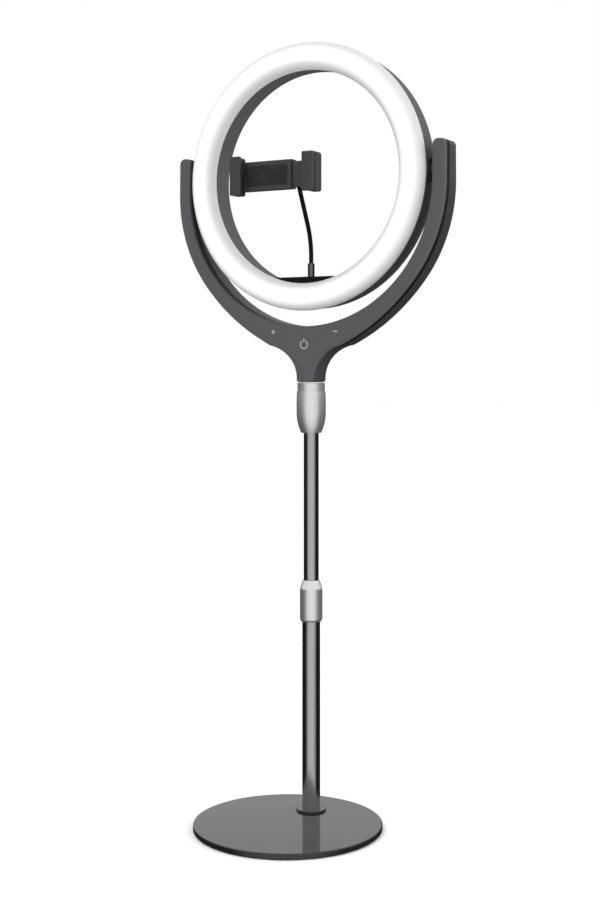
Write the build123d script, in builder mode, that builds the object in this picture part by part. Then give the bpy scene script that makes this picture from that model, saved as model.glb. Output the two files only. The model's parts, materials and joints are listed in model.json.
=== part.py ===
from build123d import *
from math import acos, cos, radians, sin, sqrt, tan
import os

# Ring light on a telescopic pole. Millimetres, +Z up, the front faces -Y.
# The origin is the centre of the base disc, on the floor.

# ---- driving dimensions -------------------------------------------------------------------

fit = 0.05  # radial clearance of every seated or running round fit
clear = 0.3  # gap between faces that move past each other

pole_y = 48.0  # the pole stands behind the centre of the base
base_r = 97.5
plate_t = 5.0
plate_edge_r = 1.0
pad_t = 1.5
pad_inset = 2.0

lower_tube_r = 9.5
tube_wall = 0.8
lower_tube_len = 222.0
flange_rim = 6.5  # width of the trim ring round the pole's foot
flange_t = 2.4
flange_edge_r = 1.1
plug_len = 22.0
bolt_r = 3.95
bolt_play = 0.35  # radial clearance of the bolt in the plate
bolt_len = 19.0
bolt_head_r = 7.0
bolt_head_t = 2.3
bolt_socket = 0.7  # share of the bolt's radius and of its head's height
washer_r = 10.5
washer_play = 0.5
washer_t = 0.8
recess_depth = 2.5

collar_z = 200.0  # foot of the twist lock above the plate
collar_len = 43.5
collar_wall = 1.3  # over the thread
collar_cone = 8.9
collar_mouth = 1.0  # the collar's end stands out this far from the upper tube
collar_chamfer = 1.2
thread_t = 1.2
thread_len = 16.5
collet_foot_t = 0.8
collet_tip_t = 0.8
collet_len = 16.0
collet_band = 0.3  # share of the collet below its taper
collet_solid = 3.0  # unslit foot of the collet
collet_skirt = 10.0
collet_slit = 1.2

tube_gap = 0.7  # between the upper tube and the lower tube's bore
tube_overlap = 46.0  # how far the upper tube's plug hangs inside the lower tube
guide_head = 10.0
guide_plug_len = 20.0

barrel_z = 399.5  # foot of the silver barrel above the plate
barrel_len = 44.6
barrel_foot_t = 2.8  # wall round the upper tube
barrel_shoulder = 18.0
barrel_swell = 0.3  # wider than the yoke's neck
barrel_waist = 0.3  # narrower than the neck, at its top
barrel_bulge = 0.67  # share of the flare reached halfway up the shoulder
barrel_full = 26.1  # height where the barrel is widest
barrel_taper = 0.1  # the shoulder ends this much inside the widest radius
groove_t = 0.9
groove_depth = 0.8
neck_ring_len = 7.6
neck_ring_step = 0.7  # narrower than the neck
ring_chamfer = 0.4
socket_depth = 30.0
stud_r = 5.0
stud_bore_r = 2.6
stud_head_r = 7.0
stud_head_t = 3.0
swivel_t = 0.7
swivel_play = 0.1

ring_mid_r = 126.4  # middle of the glowing band
ring_band = 29.0
lamp_front = 12.8  # diffuser's foot, in front of the pivot axis
lamp_side = 7.2  # straight side of the diffuser
lamp_dome = 5.4
diffuser_t = 1.8
diffuser_flange = 6.2
diffuser_lip = 2.0
shell_out_step = 2.4  # the housing's outside lies inside the diffuser's
shell_in_step = 2.3
shell_back = 16.6  # back of the housing, behind the pivot axis
shell_wall = 2.2
shell_edge_r = 5.0
shell_inner_edge_r = 2.0
board_y = 9.0  # front of the light board, in front of the pivot axis
board_t = 1.6
board_margin = 1.2
chip_side = 3.5
chip_t = 0.9
chips_per_row = 36
post_count = 8
post_r = 3.0
post_turn = 22.5
small_screw_r = 1.25
small_screw_len = 9.0
small_head_r = 2.6
small_head_t = 1.6

side_gap = 6.2  # between the lamp and the yoke's arms
yoke_drop = 10.2  # centre of the yoke's curve below the lamp's centre
arm_t = 14.9
arm_top = 29.4
arm_tip_r = 6.0
flare_r = 230.0  # the slack curve that joins the arms to the neck
flare_start = 38.0
neck_r = 15.3
neck_len = 43.9  # foot of the neck below the arms' outer curve
neck_fillet = 35.5
neck_lip = 1.6
flare_cut = 0.3
yoke_half_top = 12.6
yoke_half_foot = 16.0
yoke_wall = 2.2
cover_t = 4.2
boss_r = 3.0
tip_screw_z = 18.0
arm_screw_turn = 72.0
foot_screw_turn = 33.0
shadow_w = 1.2
shadow_depth = 1.0
seam_lap = 0.1
insert_wall = 5.0
insert_len = 18.0
nut_play = 1.0
stud_nut_r = 8.0
stud_nut_t = 4.0

hub_r = 12.0
hub_t = 3.4
hub_boss_r = 7.0
hub_shank_r = 5.0
hub_nut_r = 7.0
hub_nut_t = 2.2
pin_r = 4.0
pin_bore_r = 1.6
pin_len = 10.4
bush_r = 6.0
bush_flange_r = 7.6
bush_flange_t = 1.2
wave_t = 0.8
pivot_nut_r = 6.2
pivot_nut_t = 3.0

sign_depth = 0.4
sign_w = 1.1
plus_x = 37.8
plus_drop = 5.7  # below the lowest point of the yoke's inner curve
power_drop = 19.3
plus_len = 5.2
power_r = 4.3
touch_board_t = 1.2
touch_board_h = 11.0
touch_board_turn = 17.0
key_margin = 2.0  # board round the power key
jack_drop = 9.7
jack_r = 4.2
jack_bore_r = 2.9
jack_pin_r = 1.0
jack_len = 12.0
jack_floor = 2.0
jack_flange_r = 6.0
jack_flange_t = 1.4
lead_r = 1.3
lead_y = 4.0
lead_start = 21.0
lead_end = 12.0

platform_rise = 9.2  # flat inside the foot of the ring, above the housing's inner wall
platform_front = 9.5
platform_back = 13.0
stem_insert_wall = 1.5
stem_insert_len = 8.0
ferrule_r = 3.65
ferrule_len = 14.5
ferrule_floor = 4.35
ferrule_chamfer = 0.4
ferrule_stud_r = 2.4
gooseneck_r = 2.45
gooseneck_rise = 24.5  # straight stretch above the ferrule
gooseneck_lean = 25.0
gooseneck_radii = [80.0, 20.0]
ball_r = 5.5
ball_neck_r = 2.6
ball_sleeve_r = 3.4
ball_sleeve_len = 3.0
ball_sleeve_floor = 0.6

clamp_z = 4.2  # the clamp's centre below the lamp's centre
clamp_front = 83.0
jaw_depth = 19.3
jaw_h = 39.4
jaw_t = 8.0
lip_t = 3.0
lip_reach = 2.0
pad_thick = 3.0
phone_gap = 77.0
jaw_edge_r = 1.6
jaw_back_r = 3.0
rib_w = 1.3
rib_depth = 0.9
holder_front_y = 70.5
holder_back_y = 60.0
holder_h = 30.0
holder_wall = 1.8
holder_right = 17.0
tongue_left = 2.0
tenon_len = 7.5
holder_boss_gap = 0.52
holder_head_r = 2.0
holder_screw_step = 0.6  # the screws end this far behind the front face
holder_pad_margin = 5.0
holder_pad_h = 19.8
holder_pad_r = 2.0
holder_pad_t = 0.8
spring_r = 2.4
spring_bore_r = 1.7
spring_z = 7.0
cup_wall = 3.5
cup_mouth = 3.0  # the cup reaches this far past the ball's centre
cup_slit = 1.0
ball_nut_wall = 2.5
ball_nut_mouth = 0.9  # the ring's mouth stands out this far from the ball
ball_nut_lip = 1.4
ball_nut_gap = 2.8  # between the ring and the holder
grip_notches = 18
notch_r = 1.0
notch_depth = 0.6

# ---- levels and centres -------------------------------------------------------------------

plate_z = pad_t
floor_z = pad_t + plate_t
tube_top = floor_z + lower_tube_len
collar_foot = floor_z + collar_z
collar_top = collar_foot + collar_len
guide_z = tube_top - tube_overlap
upper_foot = guide_z + guide_head
barrel_foot = floor_z + barrel_z
barrel_top = barrel_foot + barrel_len
ring_foot = barrel_top + groove_t
ring_top = ring_foot + neck_ring_len
neck_foot = ring_top + swivel_t
upper_top = barrel_foot + socket_depth
collet_top = tube_top + collet_len

lower_bore = lower_tube_r - tube_wall
upper_tube_r = lower_bore - tube_gap
upper_bore = upper_tube_r - tube_wall
flange_r = lower_tube_r + flange_rim
thread_r = lower_tube_r + thread_t
collar_r = thread_r + collar_wall
collar_top_r = upper_tube_r + collar_mouth
collet_r = lower_tube_r + collet_foot_t
collet_tip_r = upper_tube_r + collet_tip_t
barrel_foot_r = upper_tube_r + barrel_foot_t
barrel_r = neck_r + barrel_swell
barrel_top_r = neck_r - barrel_waist
neck_ring_r = neck_r - neck_ring_step
insert_r = stud_r + insert_wall
nut_room_r = stud_nut_r + nut_play

lamp_out_r = ring_mid_r + ring_band / 2
lamp_in_r = ring_mid_r - ring_band / 2
shell_out_r = lamp_out_r - shell_out_step
shell_in_r = lamp_in_r + shell_in_step
yoke_in_r = lamp_out_r + side_gap
yoke_out_r = yoke_in_r + arm_t
yoke_bottom = yoke_drop + yoke_in_r
lamp_above_neck = yoke_drop + yoke_out_r + neck_len
lamp_z = neck_foot + lamp_above_neck
plus_z = yoke_bottom + plus_drop
power_z = yoke_bottom + power_drop
jack_z = yoke_bottom + jack_drop
platform_z = shell_in_r - platform_rise
stem_insert_r = ferrule_stud_r + stem_insert_wall
channel_out = shell_out_r - shell_wall
channel_in = shell_in_r + shell_wall
channel_mid = (channel_out + channel_in) / 2
channel_back = shell_back - shell_wall
jaw_in = phone_gap / 2
pad_back = jaw_in + pad_thick
jaw_out = pad_back + jaw_t
ball_y = holder_back_y - ball_r - holder_wall
cup_r = ball_r + cup_wall
ball_nut_r = cup_r + 2 * fit + ball_nut_wall
ball_nut_mouth_r = ball_r + ball_nut_mouth

pole = Axis((0, pole_y, 0), (0, 0, 1))
lamp_axis = Axis((0, pole_y, lamp_z), (0, 1, 0))
front = Plane(origin=(0, pole_y, lamp_z), x_dir=(1, 0, 0), z_dir=(0, -1, 0))
ring_section = Plane(origin=(0, pole_y, lamp_z), x_dir=(1, 0, 0), z_dir=(0, 0, 1))
side = Plane(origin=(0, pole_y, lamp_z), x_dir=(0, 1, 0), z_dir=(1, 0, 0))
turned = Plane(origin=(0, pole_y, 0), x_dir=(1, 0, 0), z_dir=(0, -1, 0))


def level(z):
    """Horizontal plane on the pole's axis."""
    return Plane((0, pole_y, z))


def across(x, z=lamp_z, y=pole_y):
    """Upright plane square to X; its sketches read depth, then height."""
    return Plane(origin=(x, y, z), x_dir=(0, 1, 0), z_dir=(1, 0, 0))


os.makedirs("parts", exist_ok=True)

# ---- base ---------------------------------------------------------------------------------

with BuildPart() as base_plate:
    with BuildSketch(Plane.XY.offset(plate_z)):
        Circle(base_r)
    extrude(amount=plate_t)
    fillet(base_plate.edges().group_by(Axis.Z)[-1], plate_edge_r)
    with Locations((0, pole_y, floor_z)):
        Hole(bolt_r + bolt_play)
    with BuildSketch(level(plate_z)):
        Circle(washer_r + washer_play)
    extrude(amount=recess_depth, mode=Mode.SUBTRACT)
base_plate.part.label = "base_plate"
export_step(base_plate.part, "parts/base_plate.step")

with BuildPart() as base_pad:
    with BuildSketch():
        Circle(base_r - pad_inset)
        with Locations((0, pole_y)):
            Circle(washer_r + pad_inset, mode=Mode.SUBTRACT)
    extrude(amount=pad_t)
base_pad.part.label = "base_pad"
export_step(base_pad.part, "parts/base_pad.step")

washer_z = plate_z + recess_depth - washer_t
with BuildPart() as pole_washer:
    with BuildSketch(level(washer_z)):
        Circle(washer_r)
        Circle(bolt_r + fit, mode=Mode.SUBTRACT)
    extrude(amount=washer_t)
pole_washer.part.label = "pole_washer"
export_step(pole_washer.part, "parts/pole_washer.step")

with BuildPart() as pole_screw:
    with BuildSketch(level(washer_z - bolt_head_t)):
        Circle(bolt_head_r)
    extrude(amount=bolt_head_t)
    with BuildSketch(level(washer_z)):
        Circle(bolt_r)
    extrude(amount=bolt_len)
    with BuildSketch(level(washer_z - bolt_head_t)):
        RegularPolygon(bolt_r * bolt_socket, 6)
    extrude(amount=bolt_head_t * bolt_socket, mode=Mode.SUBTRACT)
pole_screw.part.label = "pole_screw"
export_step(pole_screw.part, "parts/pole_screw.step")

with BuildPart() as foot_plug:
    with BuildSketch(level(floor_z)):
        Circle(lower_bore - fit)
        Circle(bolt_r + fit, mode=Mode.SUBTRACT)
    extrude(amount=plug_len)
    chamfer(foot_plug.edges().group_by(Axis.Z)[-1].sort_by(SortBy.LENGTH)[-1], 1)
foot_plug.part.label = "foot_plug"
export_step(foot_plug.part, "parts/foot_plug.step")

with BuildPart() as lower_tube:
    with BuildSketch(level(floor_z)):
        Circle(lower_tube_r)
        Circle(lower_bore, mode=Mode.SUBTRACT)
    extrude(amount=lower_tube_len)
lower_tube.part.label = "lower_tube"
export_step(lower_tube.part, "parts/lower_tube.step")

with BuildPart() as foot_flange:
    with BuildSketch(level(floor_z)):
        Circle(flange_r)
        Circle(lower_tube_r + fit, mode=Mode.SUBTRACT)
    extrude(amount=flange_t)
    fillet(foot_flange.edges().group_by(Axis.Z)[-1].sort_by(SortBy.LENGTH)[-1], flange_edge_r)
foot_flange.part.label = "foot_flange"
export_step(foot_flange.part, "parts/foot_flange.step")

with BuildPart() as lock_bush:
    with BuildSketch(level(tube_top - thread_len)):
        Circle(thread_r)
        Circle(lower_tube_r + fit, mode=Mode.SUBTRACT)
    extrude(amount=thread_len)
lock_bush.part.label = "lock_bush"
export_step(lock_bush.part, "parts/lock_bush.step")

# The collet stands on the tube's end; its skirt reaches down between the two tubes.
cone_foot = tube_top + collet_len * collet_band
with BuildPart() as lock_collet:
    with BuildSketch(turned):
        with BuildLine():
            Polyline(
                (upper_tube_r + fit, tube_top - collet_skirt),
                (lower_bore - fit, tube_top - collet_skirt),
                (lower_bore - fit, tube_top),
                (collet_r, tube_top),
                (collet_r, cone_foot),
                (collet_tip_r, collet_top),
                (upper_tube_r + fit, collet_top),
                close=True,
            )
        make_face()
    revolve(axis=pole)
    with BuildSketch(level(tube_top + collet_solid)):
        Rectangle(3 * collet_r, collet_slit)
        Rectangle(collet_slit, 3 * collet_r)
    extrude(amount=collet_len, mode=Mode.SUBTRACT)
lock_collet.part.label = "lock_collet"
export_step(lock_collet.part, "parts/lock_collet.step")

# ---- twist lock ---------------------------------------------------------------------------

with BuildPart() as lock_collar:
    with BuildSketch(turned):
        with BuildLine():
            Polyline(
                (lower_tube_r + 2 * fit, collar_foot),
                (collar_r - collar_chamfer, collar_foot),
                (collar_r, collar_foot + 2 * collar_chamfer),
                (collar_r, collar_top - collar_cone),
                (collar_top_r, collar_top),
                (upper_tube_r + clear, collar_top),
                (upper_tube_r + clear, collet_top + 2 * clear),
                (collet_tip_r + 2 * clear, collet_top + clear),
                (thread_r + 2 * fit, cone_foot + clear),
                (thread_r + 2 * fit, tube_top - thread_len - clear),
                (lower_tube_r + 2 * fit, tube_top - thread_len - clear),
                close=True,
            )
        make_face()
    revolve(axis=pole)
lock_collar.part.label = "lock_collar"
export_step(lock_collar.part, "parts/lock_collar.step")

# ---- mast ---------------------------------------------------------------------------------

with BuildPart() as guide_plug:
    with BuildSketch(level(guide_z)):
        Circle(lower_bore - 1.5 * fit)
    extrude(amount=guide_head)
    with BuildSketch(level(upper_foot)):
        Circle(upper_bore - fit)
    extrude(amount=guide_plug_len)
guide_plug.part.label = "guide_plug"
export_step(guide_plug.part, "parts/guide_plug.step")

with BuildPart() as upper_tube:
    with BuildSketch(level(upper_foot)):
        Circle(upper_tube_r)
        Circle(upper_bore, mode=Mode.SUBTRACT)
    extrude(amount=upper_top - upper_foot)
upper_tube.part.label = "upper_tube"
export_step(upper_tube.part, "parts/upper_tube.step")

web_z = upper_top + stud_head_t
bulge_r = barrel_foot_r + (barrel_r - barrel_foot_r) * barrel_bulge
with BuildPart() as neck_barrel:
    with BuildSketch(turned):
        with BuildLine():
            Polyline(
                (stud_r + fit, barrel_top),
                (stud_r + fit, web_z),
                (upper_tube_r + fit, web_z),
                (upper_tube_r + fit, barrel_foot),
                (barrel_foot_r, barrel_foot),
            )
            ThreePointArc(
                (barrel_foot_r, barrel_foot),
                (bulge_r, barrel_foot + barrel_shoulder / 2),
                (barrel_r - barrel_taper, barrel_foot + barrel_shoulder),
            )
            ThreePointArc(
                (barrel_r - barrel_taper, barrel_foot + barrel_shoulder),
                (barrel_r, barrel_foot + barrel_full),
                (barrel_top_r, barrel_top),
            )
            Line((barrel_top_r, barrel_top), (stud_r + fit, barrel_top))
        make_face()
    revolve(axis=pole)
neck_barrel.part.label = "neck_barrel"
export_step(neck_barrel.part, "parts/neck_barrel.step")

with BuildPart() as neck_ring:
    with BuildSketch(level(barrel_top)):
        Circle(neck_ring_r - groove_depth)
        Circle(stud_r + fit, mode=Mode.SUBTRACT)
    extrude(amount=groove_t)
    with BuildSketch(level(ring_foot)):
        Circle(neck_ring_r)
        Circle(stud_r + fit, mode=Mode.SUBTRACT)
    extrude(amount=neck_ring_len)
    chamfer(neck_ring.edges().group_by(Axis.Z)[-1].sort_by(SortBy.LENGTH)[-1], ring_chamfer)
neck_ring.part.label = "neck_ring"
export_step(neck_ring.part, "parts/neck_ring.step")

insert_top = neck_foot + insert_len
with BuildPart() as swivel_stud:
    with BuildSketch(level(upper_top)):
        Circle(stud_head_r)
    extrude(amount=stud_head_t)
    with BuildSketch(level(web_z)):
        Circle(stud_r)
    extrude(amount=insert_top + clear + stud_nut_t + 1 - web_z)
    with BuildSketch(level(upper_top)):
        Circle(stud_bore_r)
    extrude(amount=insert_top + 2 * stud_nut_t - upper_top, mode=Mode.SUBTRACT)
swivel_stud.part.label = "swivel_stud"
export_step(swivel_stud.part, "parts/swivel_stud.step")

with BuildPart() as swivel_washer:
    with BuildSketch(level(ring_top)):
        Circle(neck_ring_r - groove_depth)
        Circle(stud_r + fit, mode=Mode.SUBTRACT)
    extrude(amount=swivel_t - swivel_play)
swivel_washer.part.label = "swivel_washer"
export_step(swivel_washer.part, "parts/swivel_washer.step")

with BuildPart() as swivel_nut:
    with BuildSketch(level(insert_top + clear)):
        RegularPolygon(stud_nut_r, 6)
        Circle(stud_r + fit, mode=Mode.SUBTRACT)
    extrude(amount=stud_nut_t)
swivel_nut.part.label = "swivel_nut"
export_step(swivel_nut.part, "parts/swivel_nut.step")

# ---- yoke ---------------------------------------------------------------------------------

# Outline, seen from the front about the lamp's centre. Each side is an arm, an arc, a slack arc
# tangent to it, and a block round the neck. A concave arc joins the slack arc to the round neck.
start = radians(flare_start)
flare_x = -(flare_r - yoke_out_r) * cos(start)
flare_z = -yoke_drop + (flare_r - yoke_out_r) * sin(start)
fillet_x = neck_r + neck_fillet
fillet_z = flare_z - sqrt((flare_r + neck_fillet) ** 2 - (fillet_x - flare_x) ** 2)
share = flare_r / (flare_r + neck_fillet)
meet_x = flare_x + (fillet_x - flare_x) * share
meet_z = flare_z + (fillet_z - flare_z) * share
bend_x = yoke_out_r * cos(start)
bend_z = -yoke_drop - yoke_out_r * sin(start)
neck_z = -lamp_above_neck
waste_r = fillet_x + neck_r


def flare_mid():
    """The point halfway along the slack arc."""
    first = acos((bend_x - flare_x) / flare_r)
    last = acos((meet_x - flare_x) / flare_r)
    half = (first + last) / 2
    return flare_x + flare_r * cos(half), flare_z - flare_r * sin(half)


def arc_point(radius, angle):
    """A point on the yoke's main curve, angle in degrees from +X."""
    return radius * cos(radians(angle)), -yoke_drop + radius * sin(radians(angle))


with BuildSketch() as yoke_face:
    with BuildLine():
        ThreePointArc(arc_point(yoke_in_r, -90), arc_point(yoke_in_r, -45), arc_point(yoke_in_r, 0))
        Polyline(
            (yoke_in_r, -yoke_drop),
            (yoke_in_r, arm_top),
            (yoke_out_r, arm_top),
            (yoke_out_r, -yoke_drop),
        )
        ThreePointArc(
            arc_point(yoke_out_r, 0),
            arc_point(yoke_out_r, -flare_start / 2),
            arc_point(yoke_out_r, -flare_start),
        )
        ThreePointArc((bend_x, bend_z), flare_mid(), (meet_x, meet_z))
        Polyline((meet_x, meet_z), (meet_x, neck_z), (0, neck_z), arc_point(yoke_in_r, -90))
    make_face()
    fillet(yoke_face.vertices().group_by(Axis.Y)[-1], arm_tip_r)
    mirror(about=Plane.YZ)

with BuildSketch() as yoke_hollow:
    add(yoke_face.sketch)
    offset(amount=-yoke_wall)
    with Locations((0, neck_z)):
        Rectangle(2 * waste_r, 2 * (meet_z + 1 - neck_z), mode=Mode.SUBTRACT)
    with Locations((0, -power_z + key_margin)):
        Circle(power_r + key_margin + clear)

with BuildSketch() as yoke_shadow:
    add(yoke_face.sketch)
    offset(amount=-shadow_depth, mode=Mode.SUBTRACT)

yoke_span = arm_top + lamp_above_neck


def face_depth(z):
    """Half the yoke's depth at a height above the lamp's centre: it tapers from neck to tips."""
    return yoke_half_foot + (yoke_half_top - yoke_half_foot) * (z - neck_z) / yoke_span


def band(near, far):
    """Outline, in depth and height, between two depths measured back from the front face."""
    low, high = neck_z - 2, arm_top + 2
    return [
        (near - face_depth(low), low),
        (near - face_depth(high), high),
        (far - face_depth(high), high),
        (far - face_depth(low), low),
    ]


def rear_band(near, margin):
    """The same, from a depth behind the front face to a margin inside the rear face."""
    low, high = neck_z - 2, arm_top + 2
    return [
        (near - face_depth(low), low),
        (near - face_depth(high), high),
        (face_depth(high) - margin, high),
        (face_depth(low) - margin, low),
    ]


reach = 2 * yoke_half_foot

# What is turned away round the neck, so that it is round and flares into the arms. The flare cuts a
# little way into the slack arc.
flare_foot = fillet_z + flare_cut
with BuildPart() as neck_waste:
    with BuildSketch(front):
        with BuildLine():
            Polyline(
                (neck_r - neck_lip, neck_z - 1),
                (neck_r - neck_lip, neck_z),
                (neck_r, neck_z + neck_lip),
            )
            Line((neck_r, neck_z + neck_lip), (neck_r, flare_foot))
            CenterArc((fillet_x, flare_foot), neck_fillet, 90, 90)
            Polyline(
                (fillet_x, flare_foot + neck_fillet),
                (waste_r, flare_foot + neck_fillet),
                (waste_r, neck_z - 1),
                (neck_r - neck_lip, neck_z - 1),
            )
        make_face()
    revolve(axis=pole)

# The cover's screws stand towards the outside of the arms, which leaves the lead its way inside.
boss_ring = yoke_out_r - yoke_wall - boss_r - clear
pilot_r = small_screw_r + fit
cover_spots = [(s * boss_ring, tip_screw_z) for s in (1, -1)]
for turn in (arm_screw_turn, foot_screw_turn):
    cover_spots += [arc_point(boss_ring, -90 + s * turn) for s in (1, -1)]

# Rooms that the two mouldings enclose, and the shadow gap between them.
with BuildPart() as cover_room:
    with BuildSketch(front):
        add(yoke_hollow.sketch)
    extrude(amount=reach, both=True)
    with BuildSketch(side):
        Polygon(*band(yoke_wall, 2 * cover_t), align=None)
    extrude(amount=2 * yoke_out_r, both=True, mode=Mode.INTERSECT)

with BuildPart() as shell_room:
    with BuildSketch(front):
        add(yoke_hollow.sketch)
    extrude(amount=reach, both=True)
    with BuildSketch(side):
        Polygon(*rear_band(cover_t / 2, yoke_wall), align=None)
    extrude(amount=2 * yoke_out_r, both=True, mode=Mode.INTERSECT)

with BuildPart() as shadow_gap:
    with BuildSketch(front):
        add(yoke_shadow.sketch)
    extrude(amount=reach, both=True)
    with BuildSketch(side):
        Polygon(*band(cover_t - seam_lap, cover_t + shadow_w), align=None)
    extrude(amount=2 * yoke_out_r, both=True, mode=Mode.INTERSECT)


def cross_sign(x, z, upright):
    """A bar, with an upright bar across it where asked."""
    with Locations((x, z)):
        Rectangle(plus_len, sign_w)
        if upright:
            Rectangle(sign_w, plus_len)


with BuildPart() as plus_sign:
    with BuildSketch(front):
        cross_sign(-plus_x, -plus_z, True)
    extrude(amount=reach)
    with BuildSketch(side):
        Polygon(*band(0, sign_depth), align=None)
    extrude(amount=2 * plus_x, both=True, mode=Mode.INTERSECT)
plus_sign.part.label = "plus_sign"
export_step(plus_sign.part, "parts/plus_sign.step")

with BuildPart() as minus_sign:
    with BuildSketch(front):
        cross_sign(plus_x, -plus_z, False)
    extrude(amount=reach)
    with BuildSketch(side):
        Polygon(*band(0, sign_depth), align=None)
    extrude(amount=2 * plus_x, both=True, mode=Mode.INTERSECT)
minus_sign.part.label = "minus_sign"
export_step(minus_sign.part, "parts/minus_sign.step")

# A circle open at the top, with a bar standing in the opening.
with BuildPart() as power_sign:
    with BuildSketch(front):
        with Locations((0, -power_z)):
            Circle(power_r + sign_w / 2)
            Circle(power_r - sign_w / 2, mode=Mode.SUBTRACT)
        with Locations((0, -power_z + power_r)):
            Rectangle(power_r, power_r, mode=Mode.SUBTRACT)
            Rectangle(sign_w, power_r)
    extrude(amount=reach)
    with BuildSketch(side):
        Polygon(*band(0, sign_depth), align=None)
    extrude(amount=2 * power_r, both=True, mode=Mode.INTERSECT)
power_sign.part.label = "power_sign"
export_step(power_sign.part, "parts/power_sign.step")

with BuildPart() as cover_posts:
    with BuildSketch(front):
        with Locations(*cover_spots):
            Circle(boss_r)
    extrude(amount=reach)
    with BuildSketch(side):
        Polygon(*band(yoke_wall / 2, cover_t), align=None)
    extrude(amount=2 * yoke_out_r, both=True, mode=Mode.INTERSECT)

with BuildPart() as cover_pilots:
    with BuildSketch(front):
        with Locations(*cover_spots):
            Circle(pilot_r)
    extrude(amount=reach)
    with BuildSketch(side):
        Polygon(*band(yoke_wall / 2, 2 * cover_t), align=None)
    extrude(amount=2 * yoke_out_r, both=True, mode=Mode.INTERSECT)

with BuildPart() as yoke_cover:
    with BuildSketch(front):
        add(yoke_face.sketch)
    extrude(amount=reach, both=True)
    with BuildSketch(side):
        Polygon(*band(0, cover_t), align=None)
    extrude(amount=2 * yoke_out_r, both=True, mode=Mode.INTERSECT)
    add(neck_waste.part, mode=Mode.SUBTRACT)
    add(cover_room.part, mode=Mode.SUBTRACT)
    add(cover_posts.part)
    add(cover_pilots.part, mode=Mode.SUBTRACT)
    add([plus_sign.part, power_sign.part, minus_sign.part], mode=Mode.SUBTRACT)
yoke_cover.part.label = "yoke_cover"
export_step(yoke_cover.part, "parts/yoke_cover.step")

with BuildPart() as shell_posts:
    with BuildSketch(front):
        with Locations(*cover_spots):
            Circle(boss_r)
    extrude(amount=reach, both=True)
    with BuildSketch(side):
        Polygon(*rear_band(cover_t, yoke_wall / 2), align=None)
    extrude(amount=2 * yoke_out_r, both=True, mode=Mode.INTERSECT)

rear = front.offset(-face_depth(0))
head_seat = small_head_t + (face_depth(neck_z) - face_depth(0))
screw_top = rear.offset(head_seat)

with BuildPart() as yoke_shell:
    with BuildSketch(front):
        add(yoke_face.sketch)
    extrude(amount=reach, both=True)
    with BuildSketch(side):
        Polygon(*rear_band(cover_t, 0), align=None)
    extrude(amount=2 * yoke_out_r, both=True, mode=Mode.INTERSECT)
    add(neck_waste.part, mode=Mode.SUBTRACT)
    add(shell_room.part, mode=Mode.SUBTRACT)
    add(shadow_gap.part, mode=Mode.SUBTRACT)
    add(shell_posts.part)
    with BuildSketch(front.offset(-reach)):
        with Locations(*cover_spots):
            Circle(pilot_r)
    extrude(amount=2 * reach, mode=Mode.SUBTRACT)
    with BuildSketch(screw_top):
        with Locations(*cover_spots):
            Circle(small_head_r + fit)
    extrude(amount=-reach, mode=Mode.SUBTRACT)
    with BuildSketch(level(neck_foot)):
        Circle(insert_r + fit)
    extrude(amount=insert_len, mode=Mode.SUBTRACT)
    with BuildSketch(level(insert_top)):
        Circle(nut_room_r)
    extrude(amount=meet_z + 2 - neck_z - insert_len, mode=Mode.SUBTRACT)
    with BuildSketch(front):
        with Locations((0, -jack_z)):
            Circle(jack_r + fit)
    extrude(amount=-reach, mode=Mode.SUBTRACT)
    with BuildSketch(across(-yoke_in_r - yoke_wall)):
        Circle(bush_r + fit)
    extrude(amount=2 * yoke_wall, both=True, mode=Mode.SUBTRACT)
    with BuildSketch(across(yoke_in_r + yoke_wall)):
        Circle(bush_r + fit)
    extrude(amount=2 * yoke_wall, both=True, mode=Mode.SUBTRACT)
yoke_shell.part.label = "yoke_shell"
export_step(yoke_shell.part, "parts/yoke_shell.step")

with BuildPart() as cover_screws:
    with BuildSketch(screw_top):
        with Locations(*cover_spots):
            Circle(small_head_r)
    extrude(amount=-small_head_t)
    with BuildSketch(screw_top):
        with Locations(*cover_spots):
            Circle(small_screw_r)
    extrude(amount=2 * face_depth(0) - head_seat - 2 * yoke_wall)
cover_screws.part.label = "cover_screws"
export_step(cover_screws.part, "parts/cover_screws.step")

with BuildPart() as neck_insert:
    with BuildSketch(level(neck_foot)):
        Circle(insert_r)
        Circle(stud_r + fit, mode=Mode.SUBTRACT)
    extrude(amount=insert_len)
neck_insert.part.label = "neck_insert"
export_step(neck_insert.part, "parts/neck_insert.step")

touch_board_in_r = yoke_in_r + yoke_wall + clear
with BuildPart() as touch_board:
    with BuildSketch(front):
        with Locations((0, -yoke_drop)):
            Circle(touch_board_in_r + touch_board_h)
            Circle(touch_board_in_r, mode=Mode.SUBTRACT)
        Polygon(
            (0, -yoke_drop),
            arc_point(2 * yoke_in_r, -90 - touch_board_turn),
            arc_point(2 * yoke_in_r, -90 + touch_board_turn),
            align=None,
            mode=Mode.INTERSECT,
        )
        with Locations((0, -power_z + key_margin)):
            Circle(power_r + key_margin)
    extrude(amount=reach)
    with BuildSketch(side):
        Polygon(*band(yoke_wall, yoke_wall + touch_board_t), align=None)
    extrude(amount=yoke_out_r, both=True, mode=Mode.INTERSECT)
touch_board.part.label = "touch_board"
export_step(touch_board.part, "parts/touch_board.step")

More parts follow.
